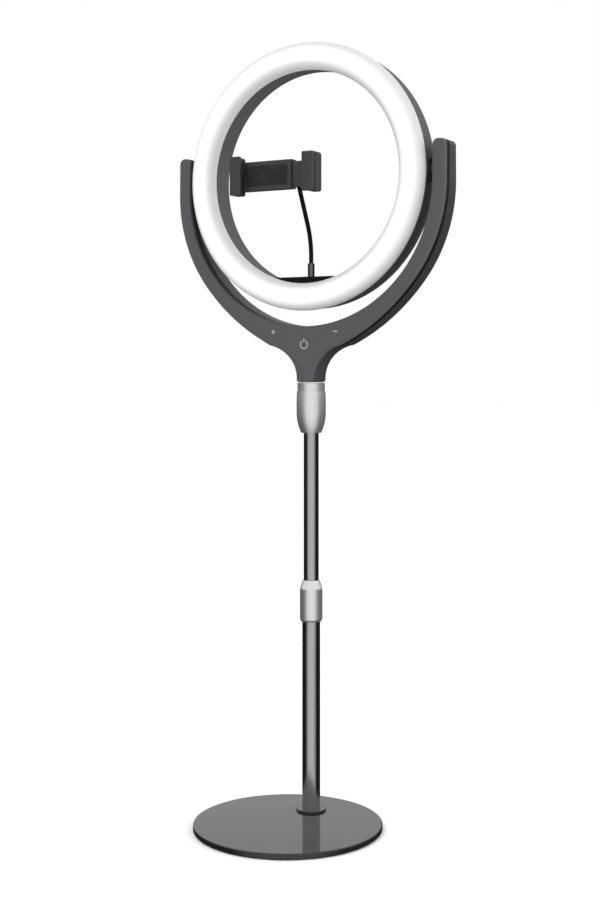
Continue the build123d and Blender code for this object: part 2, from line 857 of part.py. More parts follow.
jack_face = front.offset(-face_depth(-jack_z))
with BuildPart() as power_socket:
    with BuildSketch(jack_face):
        with Locations((0, -jack_z)):
            Circle(jack_r)
    extrude(amount=jack_len)
    with BuildSketch(jack_face.offset(yoke_wall + clear)):
        with Locations((0, -jack_z)):
            Circle(jack_flange_r)
    extrude(amount=jack_flange_t)
    with BuildSketch(jack_face):
        with Locations((0, -jack_z)):
            Circle(jack_bore_r)
            Circle(jack_pin_r, mode=Mode.SUBTRACT)
    extrude(amount=jack_len - jack_floor, mode=Mode.SUBTRACT)
power_socket.part.label = "power_socket"
export_step(power_socket.part, "parts/power_socket.step")

lead_ring = yoke_in_r + yoke_wall + lead_r + fit
with BuildPart() as arm_lead:
    with BuildLine(front.offset(-lead_y)) as lead_path:
        CenterArc((0, -yoke_drop), lead_ring, -90 + lead_start, 90 - lead_start)
        Line((lead_ring, -yoke_drop), (lead_ring, -lead_end))
    with BuildSketch(Plane((lead_ring, pole_y + lead_y, lamp_z - lead_end))):
        Circle(lead_r)
    sweep(path=lead_path.wires()[0])
arm_lead.part.label = "arm_lead"
export_step(arm_lead.part, "parts/arm_lead.step")

# ---- lamp ---------------------------------------------------------------------------------

with BuildSketch(ring_section) as channel_section:
    with BuildLine():
        Polyline(
            (shell_in_r, -lamp_front),
            (shell_in_r, shell_back),
            (shell_out_r, shell_back),
            (shell_out_r, -lamp_front),
            close=True,
        )
    make_face()
    fillet(channel_section.vertices().group_by(Axis.Y)[-1].sort_by(Axis.X)[-1], shell_edge_r)
    fillet(channel_section.vertices().group_by(Axis.Y)[-1].sort_by(Axis.X)[0], shell_inner_edge_r)

with BuildSketch(ring_section) as channel_room:
    with BuildLine():
        Polyline(
            (channel_in, -lamp_front - 1),
            (channel_in, channel_back),
            (channel_out, channel_back),
            (channel_out, -lamp_front - 1),
            close=True,
        )
    make_face()
    fillet(channel_room.vertices().group_by(Axis.Y)[-1].sort_by(Axis.X)[-1], shell_edge_r - shell_wall)

board_back = board_y - board_t
with BuildPart() as lamp_shell:
    add(channel_section.sketch)
    revolve(axis=lamp_axis)
    with BuildSketch(front.offset(-platform_back)):
        Circle(shell_in_r + shell_wall / 2)
        with Locations((0, shell_in_r - platform_z)):
            Rectangle(3 * shell_in_r, 2 * shell_in_r, mode=Mode.SUBTRACT)
    extrude(amount=platform_front + platform_back)
    add(channel_room.sketch)
    revolve(axis=lamp_axis, mode=Mode.SUBTRACT)
    with BuildSketch(front.offset(-channel_back - shell_wall / 2)):
        with PolarLocations(channel_mid, post_count, start_angle=post_turn):
            Circle(post_r)
    extrude(amount=channel_back + shell_wall / 2 + board_back)
    with BuildSketch(front.offset(board_back)):
        with PolarLocations(channel_mid, post_count, start_angle=post_turn):
            Circle(pilot_r)
    extrude(amount=-small_screw_len, mode=Mode.SUBTRACT)
    with BuildSketch(Plane((0, pole_y, lamp_z - platform_z))):
        Circle(stem_insert_r + fit)
    extrude(amount=-stem_insert_len, mode=Mode.SUBTRACT)
    with BuildSketch(across(channel_out - shell_wall)):
        Circle(hub_shank_r + fit)
    extrude(amount=3 * shell_wall, mode=Mode.SUBTRACT)
    with BuildSketch(across(-channel_out + shell_wall)):
        Circle(hub_shank_r + fit)
    extrude(amount=-3 * shell_wall, mode=Mode.SUBTRACT)
lamp_shell.part.label = "lamp_shell"
export_step(lamp_shell.part, "parts/lamp_shell.step")

dome_r = (lamp_out_r - lamp_in_r) / 2
dome_mid = (lamp_out_r + lamp_in_r) / 2
dome_foot = lamp_front + lamp_side
with BuildPart() as diffuser:
    with BuildSketch(ring_section):
        with Locations((dome_mid, -lamp_front - lamp_side / 2)):
            Rectangle(2 * dome_r, lamp_side)
        with Locations((dome_mid, -dome_foot)):
            Ellipse(dome_r, lamp_dome)
            Ellipse(dome_r - diffuser_t, lamp_dome - diffuser_t, mode=Mode.SUBTRACT)
        with Locations((dome_mid, -lamp_front - lamp_side / 2)):
            Rectangle(2 * (dome_r - diffuser_t), lamp_side, mode=Mode.SUBTRACT)
        for edge, inward in ((lamp_in_r, 1), (lamp_out_r, -1)):
            with Locations((edge + inward * diffuser_flange / 2, -lamp_front - diffuser_t / 2)):
                Rectangle(diffuser_flange, diffuser_t)
        for wall, inward in ((channel_in, 1), (channel_out, -1)):
            lip_x = wall + inward * (fit + diffuser_t / 2)
            with Locations((lip_x, -lamp_front + (diffuser_lip - diffuser_t) / 2)):
                Rectangle(diffuser_t, diffuser_lip + diffuser_t)
    revolve(axis=lamp_axis)
diffuser.part.label = "diffuser"
export_step(diffuser.part, "parts/diffuser.step")

with BuildPart() as led_board:
    with BuildSketch(front.offset(board_back)):
        Circle(channel_out - board_margin)
        Circle(channel_in + board_margin, mode=Mode.SUBTRACT)
        with PolarLocations(channel_mid, post_count, start_angle=post_turn):
            Circle(pilot_r, mode=Mode.SUBTRACT)
    extrude(amount=board_t)
led_board.part.label = "led_board"
export_step(led_board.part, "parts/led_board.step")

chip_turn = 180 / chips_per_row
with BuildPart() as led_chips:
    with BuildSketch(front.offset(board_y)):
        for row in (channel_in + board_margin + chip_side, channel_out - board_margin - chip_side):
            with PolarLocations(row, chips_per_row, start_angle=chip_turn):
                Rectangle(chip_side, chip_side)
    extrude(amount=chip_t)
led_chips.part.label = "led_chips"
export_step(led_chips.part, "parts/led_chips.step")

with BuildPart() as board_screws:
    with BuildSketch(front.offset(board_y)):
        with PolarLocations(channel_mid, post_count, start_angle=post_turn):
            Circle(small_head_r)
    extrude(amount=small_head_t)
    with BuildSketch(front.offset(board_y)):
        with PolarLocations(channel_mid, post_count, start_angle=post_turn):
            Circle(small_screw_r)
    extrude(amount=-small_screw_len)
board_screws.part.label = "board_screws"
export_step(board_screws.part, "parts/board_screws.step")

# ---- pivots -------------------------------------------------------------------------------

disc_x = shell_out_r + fit
boss_x = disc_x + hub_t
pin_x = yoke_in_r - clear
pin_end = pin_x + pin_len
bush_end = yoke_in_r + yoke_wall + bush_flange_t
shank_x = channel_out - hub_nut_t - 2
nut_seat = sqrt(channel_out**2 - hub_nut_r**2) - fit

for hand, sign in (("left", -1), ("right", 1)):
    with BuildPart() as pivot_hub:
        with BuildSketch(across(sign * shank_x)):
            Circle(hub_shank_r)
        extrude(amount=sign * (disc_x - shank_x))
        with BuildSketch(across(sign * disc_x)):
            Circle(hub_r)
        extrude(amount=sign * hub_t)
        with BuildSketch(across(sign * boss_x)):
            Circle(hub_boss_r)
        extrude(amount=sign * (pin_x - boss_x))
        with BuildSketch(across(sign * pin_x)):
            Circle(pin_r)
        extrude(amount=sign * pin_len)
        with BuildSketch(across(sign * shank_x)):
            Circle(pin_bore_r)
        extrude(amount=sign * (pin_end - shank_x), mode=Mode.SUBTRACT)
    pivot_hub.part.label = f"pivot_hub_{hand}"
    export_step(pivot_hub.part, f"parts/pivot_hub_{hand}.step")

    with BuildPart() as pivot_bush:
        with BuildSketch(across(sign * yoke_in_r)):
            Circle(bush_r)
        extrude(amount=sign * yoke_wall)
        with BuildSketch(across(sign * (yoke_in_r + yoke_wall))):
            Circle(bush_flange_r)
        extrude(amount=sign * bush_flange_t)
        with BuildSketch(across(sign * yoke_in_r)):
            Circle(pin_r + fit)
        extrude(amount=sign * 2 * yoke_wall, mode=Mode.SUBTRACT)
    pivot_bush.part.label = f"pivot_bush_{hand}"
    export_step(pivot_bush.part, f"parts/pivot_bush_{hand}.step")

with BuildPart() as hub_nuts:
    for sign in (-1, 1):
        with BuildSketch(across(sign * nut_seat)):
            RegularPolygon(hub_nut_r, 6)
            Circle(hub_shank_r + fit, mode=Mode.SUBTRACT)
        extrude(amount=-sign * hub_nut_t)
hub_nuts.part.label = "hub_nuts"
export_step(hub_nuts.part, "parts/hub_nuts.step")

with BuildPart() as pivot_washers:
    for sign in (-1, 1):
        with BuildSketch(across(sign * (bush_end + clear / 2))):
            Circle(bush_flange_r - 1)
            Circle(pin_r + fit, mode=Mode.SUBTRACT)
        extrude(amount=sign * wave_t)
pivot_washers.part.label = "pivot_washers"
export_step(pivot_washers.part, "parts/pivot_washers.step")

with BuildPart() as pivot_nuts:
    for sign in (-1, 1):
        with BuildSketch(across(sign * (bush_end + clear / 2 + wave_t))):
            RegularPolygon(pivot_nut_r, 6)
            Circle(pin_r + fit, mode=Mode.SUBTRACT)
        extrude(amount=sign * pivot_nut_t)
pivot_nuts.part.label = "pivot_nuts"
export_step(pivot_nuts.part, "parts/pivot_nuts.step")

# ---- stem of the phone clamp --------------------------------------------------------------

stem_z = lamp_z - platform_z
ferrule_top = stem_z + ferrule_len
gooseneck_foot = stem_z + ferrule_floor

with BuildPart() as stem_insert:
    with BuildSketch(level(stem_z - stem_insert_len)):
        Circle(stem_insert_r)
        Circle(ferrule_stud_r + fit, mode=Mode.SUBTRACT)
    extrude(amount=stem_insert_len)
stem_insert.part.label = "stem_insert"
export_step(stem_insert.part, "parts/stem_insert.step")

with BuildPart() as stem_ferrule:
    with BuildSketch(level(stem_z)):
        Circle(ferrule_r)
    extrude(amount=ferrule_len)
    chamfer(stem_ferrule.edges().group_by(Axis.Z)[-1], ferrule_chamfer)
    with BuildSketch(level(gooseneck_foot - clear)):
        Circle(gooseneck_r + fit)
    extrude(amount=ferrule_len, mode=Mode.SUBTRACT)
    with BuildSketch(level(stem_z)):
        Circle(ferrule_stud_r)
    extrude(amount=-stem_insert_len + 1)
stem_ferrule.part.label = "stem_ferrule"
export_step(stem_ferrule.part, "parts/stem_ferrule.step")

# Depth and height about the lamp's centre: straight up, leaning forward, then level at the ball.
bend_foot = gooseneck_rise + ferrule_top - lamp_z
bend_depth = (-clamp_z - bend_foot) * tan(radians(gooseneck_lean))
sleeve_back = ball_y - ball_r - 1 - ball_sleeve_len
gooseneck_end = sleeve_back + ball_sleeve_len - ball_sleeve_floor
with BuildPart() as gooseneck:
    with BuildLine(side) as gooseneck_path:
        FilletPolyline(
            (0, gooseneck_foot - lamp_z),
            (0, bend_foot),
            (-bend_depth, -clamp_z),
            (-gooseneck_end, -clamp_z),
            radius=gooseneck_radii,
        )
    with BuildSketch(level(gooseneck_foot)):
        Circle(gooseneck_r)
    sweep(path=gooseneck_path.wires()[0])
gooseneck.part.label = "gooseneck"
export_step(gooseneck.part, "parts/gooseneck.step")

clamp_face = Plane(origin=(0, pole_y, lamp_z - clamp_z), x_dir=(1, 0, 0), z_dir=(0, -1, 0))
clamp_plan = Plane(origin=(0, pole_y, lamp_z - clamp_z), x_dir=(1, 0, 0), z_dir=(0, 0, 1))
ball_axis = Axis((0, pole_y, lamp_z - clamp_z), (0, -1, 0))

# Turned about the clamp's axis: distance from the axis, and depth in front of the pivots.
with BuildPart() as ball_stud:
    with BuildSketch(clamp_plan):
        with BuildLine():
            CenterArc((0, -ball_y), ball_r, -90, 180)
            Line((0, -ball_y + ball_r), (0, -ball_y - ball_r))
        make_face()
    revolve(axis=ball_axis)
    with BuildSketch(clamp_face.offset(sleeve_back + ball_sleeve_len)):
        Circle(ball_neck_r)
    extrude(amount=ball_y - sleeve_back - ball_sleeve_len)
    with BuildSketch(clamp_face.offset(sleeve_back)):
        Circle(ball_sleeve_r)
    extrude(amount=ball_sleeve_len)
    with BuildSketch(clamp_face.offset(sleeve_back)):
        Circle(gooseneck_r + fit)
    extrude(amount=gooseneck_end + fit - sleeve_back, mode=Mode.SUBTRACT)
ball_stud.part.label = "ball_stud"
export_step(ball_stud.part, "parts/ball_stud.step")

# ---- phone clamp --------------------------------------------------------------------------

mouth_y = ball_y - cup_mouth
nut_lip_y = mouth_y - clear
nut_skirt = holder_back_y - ball_nut_gap - nut_lip_y
with BuildPart() as ball_nut:
    with BuildSketch(clamp_face.offset(nut_lip_y - ball_nut_lip)):
        Circle(ball_nut_r)
        Circle(ball_nut_mouth_r, mode=Mode.SUBTRACT)
    extrude(amount=ball_nut_lip)
    with BuildSketch(clamp_face.offset(nut_lip_y)):
        Circle(ball_nut_r)
        Circle(cup_r + 2 * fit, mode=Mode.SUBTRACT)
    extrude(amount=nut_skirt)
    with BuildSketch(clamp_face.offset(nut_lip_y)):
        with PolarLocations(ball_nut_r + notch_r - notch_depth, grip_notches):
            Circle(notch_r)
    extrude(amount=nut_skirt, mode=Mode.SUBTRACT)
ball_nut.part.label = "ball_nut"
export_step(ball_nut.part, "parts/ball_nut.step")

with BuildPart() as socket_cup:
    with BuildSketch(clamp_face.offset(mouth_y)):
        Circle(cup_r)
    extrude(amount=holder_back_y - mouth_y)
    with BuildSketch(clamp_plan):
        with BuildLine():
            CenterArc((0, -ball_y), ball_r + fit, -90, 180)
            Line((0, -ball_y + ball_r + fit), (0, -ball_y - ball_r - fit))
        make_face()
    revolve(axis=ball_axis, mode=Mode.SUBTRACT)
    with BuildSketch(clamp_face.offset(mouth_y)):
        Rectangle(3 * cup_r, cup_slit)
        Rectangle(cup_slit, 3 * cup_r)
    extrude(amount=cup_mouth + 1, mode=Mode.SUBTRACT)
socket_cup.part.label = "socket_cup"
export_step(socket_cup.part, "parts/socket_cup.step")

front_plate_y = holder_front_y - holder_wall
holder_len = pad_back + holder_right
holder_mid = (holder_right - pad_back) / 2
screw_x = pad_back - tenon_len / 2
single_x = pad_back - tenon_len - holder_boss_gap - small_head_r - spring_r
holder_spots = [(-screw_x, spring_z + 1), (-screw_x, -spring_z - 1), (-single_x, 0)]

with BuildPart() as holder_back:
    with BuildSketch(clamp_face.offset(holder_back_y)):
        with Locations((holder_mid, 0)):
            Rectangle(holder_len, holder_h)
    extrude(amount=front_plate_y - holder_back_y)
    fillet(holder_back.edges().filter_by(Axis.X).group_by(Axis.Y)[-1], jaw_edge_r)
    with BuildSketch(clamp_face.offset(holder_back_y + holder_wall)):
        with Locations((holder_mid, 0)):
            Rectangle(holder_len, holder_h - 2 * holder_wall)
    extrude(amount=holder_front_y - holder_back_y, mode=Mode.SUBTRACT)
    with BuildSketch(clamp_face.offset(holder_back_y + holder_wall)):
        with Locations((-single_x, 0)):
            Circle(small_head_r)
    extrude(amount=front_plate_y - holder_back_y - holder_wall)
    with BuildSketch(clamp_face.offset(holder_back_y)):
        with Locations(*holder_spots):
            Circle(pilot_r)
    extrude(amount=holder_front_y, mode=Mode.SUBTRACT)
    with BuildSketch(clamp_face.offset(holder_back_y)):
        with Locations(*holder_spots):
            Circle(holder_head_r + fit)
    extrude(amount=small_head_t / 2, mode=Mode.SUBTRACT)
holder_back.part.label = "holder_back"
export_step(holder_back.part, "parts/holder_back.step")

with BuildPart() as holder_front:
    with BuildSketch(clamp_face.offset(front_plate_y)):
        with Locations((holder_mid, 0)):
            Rectangle(holder_len, holder_h)
        with Locations(*holder_spots):
            Circle(pilot_r, mode=Mode.SUBTRACT)
    extrude(amount=holder_wall)
    fillet(holder_front.edges().filter_by(Axis.X).group_by(Axis.Y)[0], holder_wall / 2)
holder_front.part.label = "holder_front"
export_step(holder_front.part, "parts/holder_front.step")

with BuildPart() as holder_screws:
    with BuildSketch(clamp_face.offset(holder_back_y)):
        with Locations(*holder_spots):
            Circle(holder_head_r)
    extrude(amount=small_head_t / 2)
    with BuildSketch(clamp_face.offset(holder_back_y)):
        with Locations(*holder_spots):
            Circle(small_screw_r)
    extrude(amount=holder_front_y - holder_screw_step - holder_back_y)
holder_screws.part.label = "holder_screws"
export_step(holder_screws.part, "parts/holder_screws.step")

pad_left = -pad_back + holder_pad_margin
pad_right = holder_right - holder_pad_margin
with BuildPart() as holder_pad:
    with BuildSketch(clamp_face.offset(holder_front_y)):
        with Locations(((pad_left + pad_right) / 2, 0)):
            RectangleRounded(pad_right - pad_left, holder_pad_h, holder_pad_r)
    extrude(amount=holder_pad_t)
holder_pad.part.label = "holder_pad"
export_step(holder_pad.part, "parts/holder_pad.step")

slot_depth = front_plate_y - holder_back_y - holder_wall
slot_h = holder_h - 2 * holder_wall
tongue_h = slot_h - 2 * clear
tongue_back = holder_back_y + holder_wall + clear
tongue_front = front_plate_y - clear
jaw_back = clamp_front - jaw_depth


# Each jaw is a thick side with a lip that reaches over the phone's edge, and upright grooves.
jaw_blanks = {}
for hand, sign in (("left", -1), ("right", 1)):
    with BuildPart() as jaw_blank:
        with BuildSketch(clamp_plan):
            with BuildLine():
                Polyline(
                    (sign * pad_back, -jaw_back),
                    (sign * jaw_out, -jaw_back),
                    (sign * jaw_out, -clamp_front),
                    (sign * (jaw_in - lip_reach), -clamp_front),
                    (sign * (jaw_in - lip_reach), -clamp_front + lip_t),
                    (sign * pad_back, -clamp_front + lip_t),
                    close=True,
                )
            make_face()
        extrude(amount=jaw_h / 2, both=True)
        fillet(jaw_blank.edges().filter_by(Axis.Z).group_by(Axis.X)[-1 if sign > 0 else 0], jaw_edge_r)
        with BuildSketch(across(0, lamp_z - clamp_z)) as jaw_side:
            with Locations((-clamp_front + jaw_depth / 2, 0)):
                Rectangle(jaw_depth, jaw_h)
            fillet(jaw_side.vertices().group_by(Axis.X)[-1], jaw_back_r)
        extrude(amount=2 * jaw_out, both=True, mode=Mode.INTERSECT)
        with BuildSketch(clamp_plan.offset(-jaw_h)):
            for rib_y in (-clamp_front + lip_t + jaw_edge_r, -jaw_back - lip_t):
                with Locations((sign * jaw_out, rib_y)):
                    Rectangle(2 * rib_depth, rib_w)
        extrude(amount=2 * jaw_h, mode=Mode.SUBTRACT)
    jaw_blanks[hand] = jaw_blank.part

with BuildPart() as fixed_jaw:
    add(jaw_blanks["left"])
    with BuildSketch(across(-pad_back, lamp_z - clamp_z)):
        with Locations((-(holder_back_y + holder_wall + front_plate_y) / 2, 0)):
            Rectangle(slot_depth - 2 * fit, slot_h - 2 * fit)
    extrude(amount=tenon_len)
    with BuildSketch(clamp_face.offset(holder_back_y)):
        with Locations(*holder_spots[:2]):
            Circle(pilot_r)
    extrude(amount=holder_front_y, mode=Mode.SUBTRACT)
fixed_jaw.part.label = "fixed_jaw"
export_step(fixed_jaw.part, "parts/fixed_jaw.step")

with BuildPart() as sliding_jaw:
    add(jaw_blanks["right"])
    with BuildSketch(across(-tongue_left, lamp_z - clamp_z)):
        with Locations((-(tongue_back + tongue_front) / 2, 0)):
            Rectangle(tongue_front - tongue_back, tongue_h)
    extrude(amount=tongue_left + pad_back + 1)
sliding_jaw.part.label = "sliding_jaw"
export_step(sliding_jaw.part, "parts/sliding_jaw.step")

pad_foot_y = holder_front_y + clear
for name, sign in (("fixed_pad", -1), ("sliding_pad", 1)):
    with BuildPart() as jaw_pad:
        with BuildSketch(clamp_face.offset(pad_foot_y)):
            with Locations((sign * (jaw_in + pad_thick / 2), 0)):
                Rectangle(pad_thick, jaw_h - 2 * lip_t)
        extrude(amount=clamp_front - lip_t - pad_foot_y)
    jaw_pad.part.label = name
    export_step(jaw_pad.part, f"parts/{name}.step")

spring_y = (tongue_back + tongue_front) / 2
spring_x = -pad_back + tenon_len
with BuildPart() as jaw_springs:
    with BuildSketch(across(spring_x, lamp_z - clamp_z)):
        with Locations((-spring_y, spring_z), (-spring_y, -spring_z)):
            Circle(spring_r)
            Circle(spring_bore_r, mode=Mode.SUBTRACT)
    extrude(amount=-tongue_left - spring_x)
jaw_springs.part.label = "jaw_springs"
export_step(jaw_springs.part, "parts/jaw_springs.step")
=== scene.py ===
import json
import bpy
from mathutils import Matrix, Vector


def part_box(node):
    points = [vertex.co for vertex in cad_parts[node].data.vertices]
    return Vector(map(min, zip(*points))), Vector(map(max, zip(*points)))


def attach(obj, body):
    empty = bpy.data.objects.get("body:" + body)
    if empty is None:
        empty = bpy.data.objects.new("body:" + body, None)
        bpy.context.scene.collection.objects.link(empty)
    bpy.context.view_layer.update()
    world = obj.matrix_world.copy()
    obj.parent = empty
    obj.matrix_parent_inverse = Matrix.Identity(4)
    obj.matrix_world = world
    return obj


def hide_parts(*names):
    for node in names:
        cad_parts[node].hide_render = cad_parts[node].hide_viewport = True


bl_info = {
    "name": "Ring light looks",
    "version": (1, 0, 0),
    "blender": (4, 5, 0),
    "location": "3D View > Sidebar > Ring light",
    "description": "Finished surfaces, finishes and studio for a ring light, around its packed frame",
    "category": "Object",
}

from math import cos, pi, radians, sin, sqrt, tan

import bmesh
import bpy
import numpy as np
from bpy.props import FloatProperty, PointerProperty

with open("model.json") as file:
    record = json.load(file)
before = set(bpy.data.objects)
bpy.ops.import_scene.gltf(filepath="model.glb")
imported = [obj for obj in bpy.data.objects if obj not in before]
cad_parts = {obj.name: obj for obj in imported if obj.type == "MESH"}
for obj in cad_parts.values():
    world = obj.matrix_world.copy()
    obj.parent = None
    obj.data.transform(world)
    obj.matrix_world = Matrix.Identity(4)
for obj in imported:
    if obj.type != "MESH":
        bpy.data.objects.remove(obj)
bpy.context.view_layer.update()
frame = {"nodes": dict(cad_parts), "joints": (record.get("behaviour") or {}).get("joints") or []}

MM = 0.001
JOINTS = {joint["name"]: joint for joint in frame["joints"]}
LAMP = np.array(JOINTS["lamp_tilt"]["pos_m"])  # centre of the ring, on the pivots' axis
BALL = np.array(JOINTS["clamp_tilt"]["pos_m"])  # centre of the clamp's ball
POLE_Y = float(LAMP[1])
FULL_TURN = 2 * pi
SHARP = radians(38)  # edges that turn by more than this stay sharp

# Yoke, in millimetres about the lamp's centre: x to the right, z up, depth forward of the pole.
YOKE_IN_R = 147.1
YOKE_OUT_R = 162.0
YOKE_DROP = 10.2  # centre of the yoke's curves below the lamp's centre
YOKE_TOP = 29.4
YOKE_TIP_R = 6.0
YOKE_FOOT = -216.1
YOKE_FOOT_HALF = 16.0  # half the yoke's depth at its foot and at its tips
YOKE_TIP_HALF = 12.6
COVER_T = 4.2  # thickness of the front moulding
NECK_R = 15.3
NECK_LIP = 1.6  # bevel at the neck's foot
NECK_FILLET = 35.5  # quarter circle by which the neck flares into the arms
NECK_BLEND = 2.0  # rounding where the face runs into the round neck
SLACK_R = 230.0  # slack curve by which the arms leave the outer curve for the neck
SLACK_START = radians(38.0)
ARM_START = radians(9.0)  # from here on, over ARM_BLEND, the outer edge takes its rounding
ARM_BLEND = radians(12.0)
SIGN_PROUD = 0.06  # the signs stand this far out of the cover
SEAM_SHADE = 6.4  # painted shade: a near-black band behind the cover's edge, where the seam's shadow falls, and how softly it ends
SEAM_SHADE_SOFT = 0.5
SEAM_SHADE_START = 18.0  # the band fades in between these distances from the middle
SEAM_SHADE_FULL = 46.0

# Steps of the curved surfaces.
NECK_SAMPLES = 900
COVER_ROWS = 220
COVER_COLUMNS = 34
RING_SEGMENTS = 288
RIB_STEPS = 7
HOSE_SIDES = 28

# Greys that two finishes share, and the grains of moulded plastic.
CHARCOAL = (0.031, 0.037)
COARSE_GRAIN = 1500.0
FINE_GRAIN = 1800.0

# Studio.
FLOOR_HALF = 12.0
SUN_DISTANCE = 3.0
DOME_START = radians(5.0)  # white above DOME_FULL, and dark at the back below DOME_START
DOME_FULL = radians(11.0)
FRONT_EDGE = 0.60  # cosine of the bearing where the bright front of the studio ends
FRONT_SOFT = 0.34


def node_box(node):
    """Lowest and highest corners of a CAD node, as arrays."""
    low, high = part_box(node)
    return np.array(low), np.array(high)


# ---- surfaces -------------------------------------------------------------------------------


def grid_faces(rows, columns, close_rows):
    """Quads between the neighbours of a grid, numbered row by row, whose rows are closed loops."""
    row, column = np.meshgrid(np.arange(rows if close_rows else rows - 1), np.arange(columns), indexing="ij")
    right = (column + 1) % columns
    here, below = row * columns, (row + 1) % rows * columns
    return np.stack([here + column, here + right, below + right, below + column], axis=-1).reshape(-1, 4)


def add_surface(name, grid, body, finish, close_rows=False, caps=False, sharp=SHARP):
    """A piece from a (rows, columns, 3) grid: its first and last rows are joined, or capped, or open."""
    rows, columns = grid.shape[:2]
    faces = grid_faces(rows, columns, close_rows).tolist()
    if caps:
        faces += [list(range(columns)), list(range((rows - 1) * columns, rows * columns))]
    mesh = bpy.data.meshes.new(name)
    mesh.from_pydata(grid.reshape(-1, 3).tolist(), [], faces)
    return add_piece(name, mesh, body, finish, sharp)


def add_piece(name, mesh, body, finish, sharp):
    """Closes a new mesh's seams, turns its faces outwards, shades it and lets it ride on its body."""
    work = bmesh.new()
    work.from_mesh(mesh)
    bmesh.ops.remove_doubles(work, verts=work.verts, dist=0.001 * MM)
    bmesh.ops.recalc_face_normals(work, faces=work.faces)
    work.to_mesh(mesh)
    work.free()
    mesh.polygons.foreach_set("use_smooth", np.ones(len(mesh.polygons), dtype=bool))
    mesh.set_sharp_from_angle(angle=sharp)
    mesh.materials.append(bpy.data.materials[finish])
    piece = bpy.data.objects.new(name, mesh)
    bpy.context.scene.collection.objects.link(piece)
    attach(piece, body)
    return piece


def rounded(corners, steps=8):
    """A line through (across, along, radius) corners, each turned by a tangent arc of its radius."""
    points = [np.array(corners[0][:2], dtype=float)]
    for before, here, after in zip(corners, corners[1:], corners[2:]):
        here_at = np.array(here[:2], dtype=float)
        back = np.array(before[:2]) - here_at
        ahead = np.array(after[:2]) - here_at
        back, ahead = back / np.linalg.norm(back), ahead / np.linalg.norm(ahead)
        half = 0.5 * np.arccos(np.clip(back @ ahead, -1.0, 1.0))
        if here[2] == 0 or half > 0.499 * pi:
            points.append(here_at)
            continue
        middle = here_at + (back + ahead) / np.linalg.norm(back + ahead) * here[2] / sin(half)
        first = here_at + back * here[2] / tan(half) - middle
        last = here_at + ahead * here[2] / tan(half) - middle
        share = np.linspace(0.0, 1.0, steps + 1)[:, None]
        sweep = pi - 2 * half
        arc = (np.sin((1 - share) * sweep) * first + np.sin(share * sweep) * last) / sin(sweep)
        points.extend(middle + arc)
    points.append(np.array(corners[-1][:2], dtype=float))
    return np.array(points)


def lathe(profile, centre, segments):
    """Points of a profile of (radius, distance forward) pairs turned about a fore-and-aft axis."""
    turn = np.linspace(0.0, FULL_TURN, segments, endpoint=False)[None, :]
    across, up = profile[:, :1] * np.cos(turn), profile[:, :1] * np.sin(turn)
    forward = np.broadcast_to(profile[:, 1:], across.shape)
    return np.stack([across, -forward, up], axis=-1) + centre


# ---- shader expressions ---------------------------------------------------------------------


class Value:
    """A shader socket that takes part in Python expressions: each operation adds a Math node."""

    def __init__(self, shade, socket):
        self.shade = shade
        self.socket = socket

    def math(self, operation, *values):
        return self.shade.node("Math", {"operation": operation}, dict(enumerate(values)))

    def __add__(self, other):
        return self.math("ADD", self, other)

    def __sub__(self, other):
        return self.math("SUBTRACT", self, other)

    def __rsub__(self, other):
        return self.math("SUBTRACT", other, self)

    def __mul__(self, other):
        return self.math("MULTIPLY", self, other)

    def __truediv__(self, other):
        return self.math("DIVIDE", self, other)

    def __pow__(self, other):
        return self.math("POWER", self, other)

    __radd__ = __add__
    __rmul__ = __mul__

    def size(self):
        """Its value without the sign."""
        return self.math("ABSOLUTE", self)

    def between(self, low, high):
        """0 below low, 1 above high, and smooth between them."""
        return self.shade.node(
            "MapRange", {"interpolation_type": "SMOOTHSTEP"}, {0: self, 1: low, 2: high, 3: 0.0, 4: 1.0}
        )


class Shade:
    """One material's node tree, built by expressions."""

    def __init__(self, name, tree=None):
        if tree is None:
            self.material = bpy.data.materials.new(name)
            self.material.use_nodes = True
            tree = self.material.node_tree
        self.tree = tree
        tree.nodes.clear()

    def node(self, kind, settings=None, values=None, out=0):
        """Adds a node: its settings first, then a value or a link for each named or numbered socket."""
        made = self.tree.nodes.new("ShaderNode" + kind)
        for key, setting in (settings or {}).items():
            setattr(made, key, setting)
        for key, value in (values or {}).items():
            socket = made.inputs[key]
            if isinstance(value, Value):
                self.tree.links.new(value.socket, socket)
            else:
                socket.default_value = value
        return Value(self, made.outputs[out]) if made.outputs else None

    def place(self, scale=(1.0, 1.0, 1.0), shift=(0.0, 0.0, 0.0)):
        """Object coordinates, scaled and moved."""
        here = self.node("TexCoord", out="Object")
        return self.node("Mapping", {}, {"Vector": here, "Location": shift, "Scale": scale})

    def noise(self, where, scale, detail=3.0, roughness=0.55):
        """Soft noise of 0 to 1; scale is how many of its patches fit in a metre."""
        values = {"Vector": where, "Scale": scale, "Detail": detail, "Roughness": roughness}
        return self.node("TexNoise", {}, values)

    def mix(self, factor, first, second):
        """A colour between two colours."""
        return self.node("Mix", {"data_type": "RGBA"}, {0: factor, 6: first, 7: second}, out=2)

    def bump(self, height, depth):
        """A normal from a height of 0 to 1, depth metres deep."""
        return self.node("Bump", {}, {"Strength": 1.0, "Distance": depth, "Height": height})

    def finish(self, **values):
        """The Principled shader with these sockets, named with _ for a space, as the surface."""
        named = {key.replace("_", " "): value for key, value in values.items()}
        surface = self.node("BsdfPrincipled", {}, named)
        self.node("OutputMaterial", {}, {"Surface": surface})
        return self.material


def grey(value, warmth=0.0):
    """A neutral colour, or a warmer one."""
    return (value * (1 + warmth), value, value * (1 - warmth), 1.0)


# ---- finishes -------------------------------------------------------------------------------


